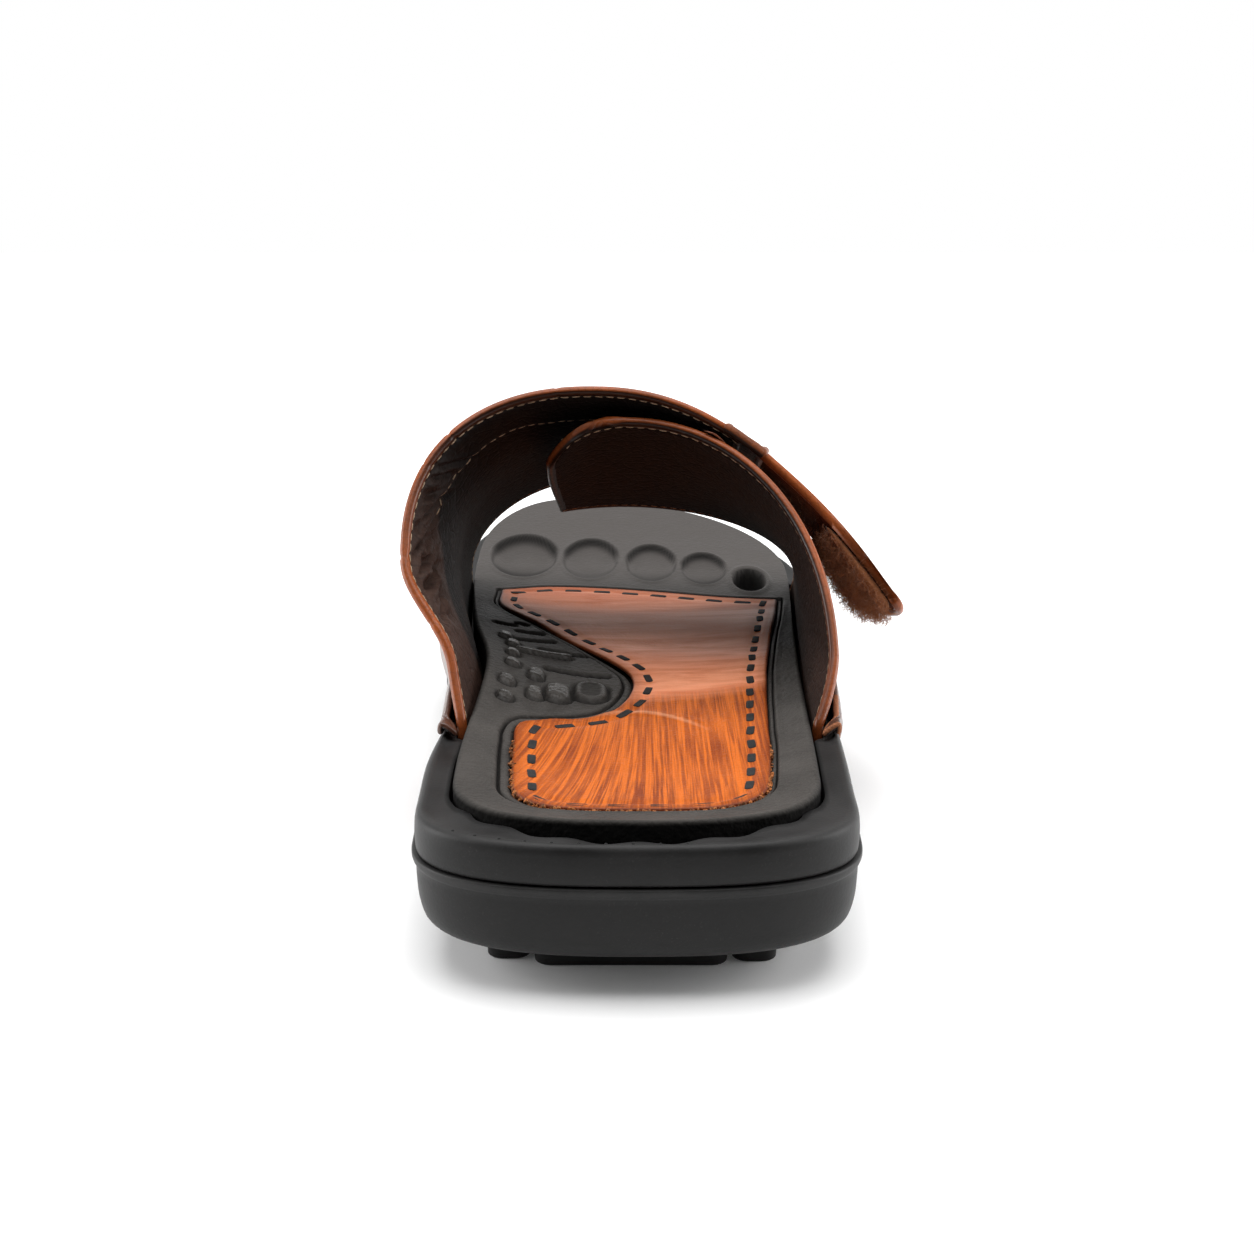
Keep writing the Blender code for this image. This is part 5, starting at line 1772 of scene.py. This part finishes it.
def build_straps(look):
    """The two straps, with rolled edges, creased lining and thread beside each edge."""
    bead = look.edge_bead / MM
    materials = [chestnut_finish(look), edge_finish(look), lining_finish(look)]
    outer = strap_sheet(MEDIAL_STRAP, None)
    crease_lining(outer)
    nick_edge(outer)
    outer.relief -= KEEPER_SKIVE * smooth_step(KEEPER_OVERLAP - 0.5 - outer.along[-1:] + outer.along)
    inner = strap_sheet(LATERAL_STRAP, FREE_END_ROUND)
    # painted shade on the inner strap's lining, darker towards its crown
    inner.shade = 0.4 + 0.6 * smooth_step((inner.place - 1.6) / 0.8)
    for name, sheet in (("outer_strap", outer), ("inner_strap", inner)):
        mesh = sheet.mesh(name, bead, EDGE_WIDTH)
        finish_piece(name, mesh, "brown_leather", materials, "upper")
    paths = strap_stitches(outer, bead) + strap_stitches(inner, bead) + [lining_seam(outer, bead)]
    values = {
        "Pitch": look.thread_pitch,
        "Size": (look.thread_pitch * 0.82, look.thread_width * 1.3, look.thread_width * 1.1),
        "Boxiness": 0.25,
        "Detail": 1,
        "Lean": (0.05, 0.05, 0.10),
        "Material": thread_finish("beige_thread", look.thread_colour),
    }
    source = path_mesh("strap_path", paths)
    grow_piece("strap_stitches", "brown_leather", source, stitch_tree(), values)


def sliver(points, width, thickness):
    """A torn leather sliver along a run of points, pointed at both ends, as a closed mesh."""
    run = np.asarray(points, float)
    for _ in range(3):
        middle = (run[:-1] + run[1:]) / 2
        between = np.stack((middle, run[1:]), axis=1).reshape(-1, 3)
        run = np.concatenate((run[:1], between))
        run[1:-1] = (run[:-2] + 2 * run[1:-1] + run[2:]) / 4
    ahead = np.gradient(run, axis=0)
    side = np.cross(ahead, (0.3, 0.2, 1.0))
    side = side / np.linalg.norm(side, axis=1, keepdims=True)
    up = np.cross(side, ahead)
    up = up / np.linalg.norm(up, axis=1, keepdims=True)
    taper = np.sqrt(np.sin(np.linspace(0.02, math.pi - 0.02, len(run))))[:, None]
    turns = np.linspace(0, 2 * math.pi, 9)[:-1]
    rings = [run + taper * (side * width * math.cos(a) + up * thickness * math.sin(a)) for a in turns]
    rings = np.stack(rings, axis=1)
    numbers = np.arange(rings.shape[0] * rings.shape[1]).reshape(rings.shape[:2])
    faces = grid_faces(np.concatenate((numbers, numbers[:, :1]), axis=1)).tolist()
    faces += [numbers[0, ::-1].tolist(), numbers[-1].tolist()]
    return rings.reshape(-1, 3), [face[::-1] for face in faces]


def make_keeper(look):
    """Keeper rolled over the strap's end, and the torn leather under it."""
    run = graded_run(FASTENING_STEPS, KEEPER_WIDTH, 10)
    side = graded_run(FASTENING_STEPS, KEEPER_LENGTH, 60)
    distance, share = np.broadcast_arrays((KEEPER_WIDTH * run - KEEPER_OVERLAP)[:, None], side[None])
    base = beyond_strap(distance, share)
    out = strap_out(MEDIAL_STRAP, np.full_like(share, 3.99), share)
    crown = KEEPER_CROWN * bow(2 * run - 1, 2.4)[:, None]
    rolled = smooth_step(1 - share / KEEPER_ROLL)
    behind = base[:, :1] - base[:, [len(FASTENING_STEPS)]]
    behind = behind / np.linalg.norm(behind, axis=-1, keepdims=True)
    lift = KEEPER_LIFT + crown - KEEPER_DROP * rolled
    face = base + out * lift[..., None] + behind * (KEEPER_BACK * rolled)[..., None]
    keeper = Sheet(face, KEEPER_THICK, 1)
    # painted shade: the keeper's underside is blackened
    keeper.shade[:] = 1
    mesh = keeper.mesh("keeper", KEEPER_BEAD, 0.0)
    finish_piece("keeper", mesh, "dark_leather", [keeper_finish(look)], "strap_keeper")
    corner = strap_face(MEDIAL_STRAP, 4.0, np.array(0.0))
    points = []
    faces = []
    for offsets, width, thickness in KEEPER_SHREDS:
        made, shells = sliver(corner + np.array(offsets), width, thickness)
        faces += [[len(points) + number for number in face] for face in shells]
        points += made.tolist()
    mesh = make_mesh("torn_leather", points, faces)
    finish_piece("torn_leather", mesh, "dark_leather", [chestnut_finish(look)])


def tab_grid(along, part):
    """Points of the tab's outer face, and how far along the tab each lies."""
    first, last = TAB_SHARES
    along, share = np.broadcast_arrays(along[:, None], first + (last - first) * part[None])
    return tab_face(along, share), along


def make_tab(look):
    """Closing tab beyond the outer strap's end."""
    along = graded_run(FASTENING_STEPS, TAB_LENGTH, 60)
    face, _ = tab_grid(along, graded_run(FASTENING_STEPS, TAB_WIDTH, 32))
    tab = Sheet(face, TAB_THICK, 1)
    # painted shade on the tab's underside
    tab.shade[:] = 0.35
    tab.relief -= KEEPER_SKIVE * smooth_step((1.9 - tab.along) / 0.8)
    materials = [chestnut_finish(look), edge_finish(look), underside_finish(look)]
    finish_piece("tab", tab.mesh("tab", TAB_BEAD, EDGE_WIDTH), "brown_leather", materials, "closure_tab")


def underside_of(mesh):
    """The faces of a sheet's mesh that look the way its inner side does, as a mesh of their own."""
    facing = np.empty(3 * len(mesh.polygons))
    mesh.polygons.foreach_get("normal", facing)
    facing = facing.reshape(-1, 3)
    hairy = facing @ facing[face_kinds(mesh) == 2].mean(axis=0) > 0.1
    corners = [tuple(face.vertices) for face, kept in zip(mesh.polygons, hairy) if kept]
    underside = bpy.data.meshes.new(mesh.name + "_underside")
    underside.from_pydata([tuple(point.co) for point in mesh.vertices], [], corners)
    return underside


def make_pile(look):
    """Loop pile on a pad under the tab's end, and stray fibres on the leather before it."""
    first, last = PILE_SPAN
    part = PILE_MARGIN + (1 - 2 * PILE_MARGIN) * np.linspace(0, 1, 20)
    face, along = tab_grid(first + (last - first) * np.linspace(0, 1, 26), part)
    backing = Sheet(face, TAB_THICK, 1)
    pad = Sheet(backing.middle - backing.out * (TAB_THICK / 2 + GAP), PILE_THICK, 1)
    pad.lining_relief += PILE_SWELL * smooth_step((along - first) / 0.3) * smooth_step(pad.gap / 1.5)
    mesh = pad.mesh("pile_pad", PILE_BEAD, 0.0)
    values = {
        "Density": 5.5e6,
        "Length": 3.2 * MM,
        "Thread": 0.045 * MM,
        "Bend": 0.8,
        "Lean": (0.7, 0.7, 3.1),
        "Seed": PILE_SEED,
        "Material": pile_finish(look),
    }
    grow_piece("pile_strands", "loop_pile", underside_of(mesh), strand_tree(), values)
    finish_piece("pile", mesh, "loop_pile", [values["Material"]], "loop_pile")
    face, _ = tab_grid(np.linspace(0.05, 0.62, 20), np.linspace(0.12, 0.9, 14))
    bare = Sheet(face, TAB_THICK, 1)
    under = bare.middle - bare.out * (TAB_THICK / 2)
    numbers = np.arange(under[..., 0].size).reshape(under.shape[:2])
    patch = make_mesh("tab_underside", under.reshape(-1, 3), grid_faces(numbers).tolist())
    values.update({"Density": 0.12e6, "Length": 3.4 * MM, "Thread": 0.06 * MM, "Bend": 1.3})
    values.update({"Lean": (0.9, 0.9, 3.1), "Seed": STRAY_SEED})
    grow_piece("stray_fibres", "loop_pile", patch, strand_tree(), values)


def build_fastening(look):
    """Keeper over the strap's end, the torn leather under it, and the closing tab with its pile."""
    make_keeper(look)
    make_tab(look)
    make_pile(look)


def build_covers(look):
    """Leather skirts that run from each strap over the rim."""
    edges = {MEDIAL: dark_finish(look), LATERAL: raw_edge_finish(look)}
    rise = graded_run(COVER_STEPS, COVER_HEIGHT, 24)
    part = graded_run(COVER_STEPS, COVER_LENGTH, 130, 1.5)
    share = COVER_SHARES[0] + (COVER_SHARES[1] - COVER_SHARES[0]) * part
    rise, share = np.broadcast_arrays(rise[:, None], share[None])
    for name, strap in (("medial_side_cover", MEDIAL_STRAP), ("lateral_side_cover", LATERAL_STRAP)):
        sheet = Sheet(cover_face(strap, rise, share), COVER_THICK, -strap.side)
        # painted shade: the skirts' lining side is blackened, so that they show a dark space under them
        sheet.shade[:] = 1
        piece = name.replace("side_cover", "skirt")
        mesh = sheet.mesh(piece, COVER_BEAD, COVER_EDGE)
        kinds = face_kinds(mesh)
        place = np.empty(3 * len(mesh.polygons))
        mesh.polygons.foreach_get("center", place)
        kinds[(kinds == 1) & (place[1::3] > RAW_END_Y * MM + HEEL_BACK_Y)] = 0
        mesh.polygons.foreach_set("material_index", kinds)
        materials = [dark_finish(look), edges[strap.side], lining_finish(look)]
        finish_piece(piece, mesh, "dark_leather", materials, name)


def lay_floor(look):
    """Pale floor that glows more away from the shoe, which keeps the shadow soft and close."""
    left, right, rear, front = -FLOOR_HALF, FLOOR_HALF, FLOOR_REAR_Y, FLOOR_HALF
    corners = [(left, rear, 0), (right, rear, 0), (right, front, 0), (left, front, 0)]
    mesh = bpy.data.meshes.new("floor")
    mesh.from_pydata(corners, [], [(0, 1, 2, 3)])
    finish = Finish("pale_floor")
    board = finish.board
    cloud = noise(board, finish.place, 2.0, 2.0)
    tone = mixed(board, cloud, (0.90, 0.90, 0.90, 1), (0.93, 0.93, 0.93, 1))
    values = {0: finish.place, 1: (0, -SHOE_MIDDLE_Y, 0)}
    middle = board.add("ShaderNodeVectorMath", values, operation="ADD").outputs[0]
    round_shoe = stretched(board, middle, (1.0, SHOE_SLIMNESS, 1.0))
    far = board.add("ShaderNodeVectorMath", {0: round_shoe}, operation="LENGTH").outputs["Value"]
    close, wide, beyond = [ranged(board, far, *reach) for reach in FLOOR_GLOW]
    glow = sums(board, "ADD", sums(board, "ADD", close, wide), beyond)
    glow = mixed(board, glow, (0, 0, 0, 1), (1, 1, 1, 1))
    finish.set(Emission_Color=glow, Emission_Strength=look.floor_glow)
    mesh.materials.append(finish.set(Base_Color=tone, Roughness=0.9, Specular_IOR_Level=0.1))
    floor = bpy.data.objects.new("floor", mesh)
    bpy.context.scene.collection.objects.link(floor)


def light_studio(look):
    """White surroundings, brighter at the toe than at the heel, and three soft lamps."""
    scene = bpy.context.scene
    world = bpy.data.worlds.new("studio")
    scene.world = world
    world.use_nodes = True
    board = Board(world.node_tree)
    world.node_tree.nodes.clear()
    toward = board.add("ShaderNodeTexCoord").outputs["Generated"]
    toward = board.add("ShaderNodeSeparateXYZ", {0: toward}).outputs
    strength = ranged(board, toward["Y"], -0.6, 0.3, look.heel_side, look.toe_side)
    strength = times(board, strength, ranged(board, toward["Z"], 0.35, 0.75, 1.0, 0.4))
    seen = board.add("ShaderNodeLightPath").outputs["Is Camera Ray"]
    strength = sums(board, "MAXIMUM", strength, seen)
    sky = board.add("ShaderNodeBackground", {"Color": (1, 1, 1, 1), "Strength": strength})
    board.add("ShaderNodeOutputWorld", {"Surface": sky.outputs[0]})
    x, y, z = SIDE_LAMP_PLACE
    lamps = (
        ("overhead", OVERHEAD_PLACE, OVERHEAD_SIZE, look.key_power),
        ("side_left", (-x, y, z), SIDE_LAMP_SIZE, look.side_power),
        ("side_right", (x, y, z), SIDE_LAMP_SIZE, look.side_power),
    )
    for name, place, size, power in lamps:
        light = bpy.data.lights.new(name, "AREA")
        light.shape = "SQUARE"
        light.size = size
        light.energy = power
        lamp = bpy.data.objects.new(name, light)
        lamp.location = place
        aim = -lamp.location.copy()
        aim.y += LAMP_AIM_Y
        lamp.rotation_euler = aim.to_track_quat("-Z", "Y").to_euler()
        scene.collection.objects.link(lamp)


def build_stage(look):
    """Pale floor, soft studio light and the camera."""
    lay_floor(look)
    light_studio(look)
    scene = bpy.context.scene
    lens = bpy.data.cameras.new("camera")
    lens.lens = look.camera_lens
    lens.sensor_width = CAMERA_SENSOR
    camera = bpy.data.objects.new("camera", lens)
    camera.location = CAMERA_PLACE
    camera.rotation_euler = (math.radians(CAMERA_PITCH), 0, 0)
    scene.collection.objects.link(camera)
    scene.camera = camera
    scene.view_settings.view_transform = "Standard"


# Settings, operators and panel


def colour_setting(name, shown_on, default):
    words = "Colour of the " + shown_on
    return FloatVectorProperty(
        name=name, description=words, subtype="COLOR", size=3, min=0.0, max=1.0, default=default
    )


def number_setting(name, description, default, unit="NONE", least=0.0):
    return FloatProperty(name=name, description=description, unit=unit, min=least, default=default)


def size_setting(name, description, default):
    return FloatProperty(
        name=name, description=description, unit="LENGTH", min=0.0, precision=5, default=default
    )


class SandalSettings(bpy.types.PropertyGroup):
    """Sizes, colours and light that a user would change."""

    rubber_colour: colour_setting("Rubber", "two sole halves", (0.0112, 0.0109, 0.0108))
    foam_colour: colour_setting("Footbed foam", "footbed", (0.055, 0.0500, 0.0455))
    toe_colour: colour_setting("Toe foam", "footbed under the toes", (0.055, 0.049, 0.046))
    tan_colour: colour_setting("Tan leather", "inlay at the heel", (0.58, 0.128, 0.012))
    streak_colour: colour_setting("Tan streaks", "inlay's dark streaks", (0.21, 0.036, 0.006))
    # Front leather: partly its own colour, partly painted sheen and painted light
    front_and_sheen_colour: colour_setting("Front leather", "inlay at the ball of the foot", (0.95, 0.330, 0.170))
    chestnut_colour: colour_setting("Chestnut leather", "straps' outer side", (0.17, 0.045, 0.015))
    edge_colour: colour_setting("Rolled edge", "rolled leather edges", (0.25, 0.060, 0.014))
    lining_colour: colour_setting("Lining", "straps' lining", (0.042, 0.0225, 0.0165))
    dark_colour: colour_setting("Dark leather", "skirts over the rim", (0.075, 0.026, 0.013))
    keeper_colour: colour_setting("Keeper", "keeper and the tab's underside", (0.150, 0.043, 0.015))
    raw_colour: colour_setting("Raw edge", "torn and cut leather", (0.30, 0.10, 0.035))
    thread_colour: colour_setting("Strap thread", "thread beside the strap edges", (0.42, 0.31, 0.21))
    charcoal_colour: colour_setting("Inlay thread", "stitches round the inlay", (0.022, 0.021, 0.021))
    pile_colour: colour_setting("Loop pile", "pile under the tab", (0.13, 0.048, 0.019))
    crumb_colour: colour_setting("Cork crumb", "crumbs under the inlay's rear edge", (0.60, 0.19, 0.04))
    flange_reach: size_setting("Flange reach", "How far the outsole's lip stands out", 0.0010)
    scallop_pitch: size_setting("Scallop pitch", "Distance between scallops of the heel groove", 0.0130)
    scallop_depth: size_setting("Scallop depth", "Depth of a scallop of the heel groove", 0.0016)
    edge_bead: size_setting("Edge bead", "Radius of the straps' rolled edge", 0.00114)
    thread_pitch: size_setting("Thread pitch", "Distance between stitches of the straps", 0.0026)
    thread_width: size_setting("Thread width", "Thickness of the straps' thread", 0.00034)
    inlay_pitch: size_setting("Inlay pitch", "Distance between stitches of the inlay", 0.0080)
    inlay_stitch: size_setting("Inlay stitch", "Length of a stitch of the inlay", 0.0046)
    toe_side: number_setting("Toe side", "Brightness of the studio at the toe", 1.0)
    heel_side: number_setting("Heel side", "Brightness of the studio at the heel", 0.03)
    floor_glow: number_setting("Floor glow", "Light that the floor gives by itself", 1.10)
    key_power: number_setting("Overhead", "Power of the overhead light", 11.5, "POWER")
    side_power: number_setting("Sides", "Power of each side light", 7.2, "POWER")
    camera_lens: number_setting("Lens", "Focal length", 45.93, "CAMERA", 1.0)


class SANDAL_OT_outsole(bpy.types.Operator):
    """Build the outsole and its tread blocks"""

    bl_idname = "sandal.outsole"
    bl_label = "Outsole"

    def execute(self, context):
        build_outsole(context.scene.sandal)
        return {"FINISHED"}


class SANDAL_OT_midsole(bpy.types.Operator):
    """Build the midsole cup and its rim"""

    bl_idname = "sandal.midsole"
    bl_label = "Midsole"

    def execute(self, context):
        build_midsole(context.scene.sandal)
        return {"FINISHED"}


class SANDAL_OT_footbed(bpy.types.Operator):
    """Build the moulded footbed"""

    bl_idname = "sandal.footbed"
    bl_label = "Footbed"

    def execute(self, context):
        build_footbed(context.scene.sandal)
        return {"FINISHED"}


class SANDAL_OT_inlay(bpy.types.Operator):
    """Build the tan leather inlay with its stitches and crumbs"""

    bl_idname = "sandal.inlay"
    bl_label = "Leather Inlay"

    def execute(self, context):
        build_inlay(context.scene.sandal)
        return {"FINISHED"}


class SANDAL_OT_straps(bpy.types.Operator):
    """Build the two straps and their stitches"""

    bl_idname = "sandal.straps"
    bl_label = "Straps"

    def execute(self, context):
        build_straps(context.scene.sandal)
        return {"FINISHED"}


class SANDAL_OT_fastening(bpy.types.Operator):
    """Build the keeper, the closing tab and its pile"""

    bl_idname = "sandal.fastening"
    bl_label = "Fastening"

    def execute(self, context):
        build_fastening(context.scene.sandal)
        return {"FINISHED"}


class SANDAL_OT_covers(bpy.types.Operator):
    """Build the leather skirts over the rim"""

    bl_idname = "sandal.covers"
    bl_label = "Side Skirts"

    def execute(self, context):
        build_covers(context.scene.sandal)
        return {"FINISHED"}


class SANDAL_OT_stage(bpy.types.Operator):
    """Build the floor, the lights and the camera"""

    bl_idname = "sandal.stage"
    bl_label = "Stage"

    def execute(self, context):
        build_stage(context.scene.sandal)
        return {"FINISHED"}


class SANDAL_PT_panel(bpy.types.Panel):
    """Lists the sandal's settings and the steps that build it"""

    bl_idname = "SANDAL_PT_panel"
    bl_label = "Slide Sandal"
    bl_space_type = "VIEW_3D"
    bl_region_type = "UI"
    bl_category = "Sandal"

    def draw(self, context):
        for operator in OPERATORS:
            self.layout.operator(operator.bl_idname)
        for name in SandalSettings.__annotations__:
            self.layout.prop(context.scene.sandal, name)


OPERATORS = (
    SANDAL_OT_outsole,
    SANDAL_OT_midsole,
    SANDAL_OT_footbed,
    SANDAL_OT_inlay,
    SANDAL_OT_straps,
    SANDAL_OT_fastening,
    SANDAL_OT_covers,
    SANDAL_OT_stage,
)
CLASSES = (SandalSettings, *OPERATORS, SANDAL_PT_panel)


def register():
    for cls in CLASSES:
        bpy.utils.register_class(cls)
    bpy.types.Scene.sandal = PointerProperty(type=SandalSettings)


def unregister():
    del bpy.types.Scene.sandal
    for cls in reversed(CLASSES):
        bpy.utils.unregister_class(cls)


def main():
    register()
    bpy.ops.sandal.outsole()
    bpy.ops.sandal.midsole()
    bpy.ops.sandal.footbed()
    bpy.ops.sandal.inlay()
    bpy.ops.sandal.straps()
    bpy.ops.sandal.fastening()
    bpy.ops.sandal.covers()
    bpy.ops.sandal.stage()


if __name__ == "__main__":
    main()
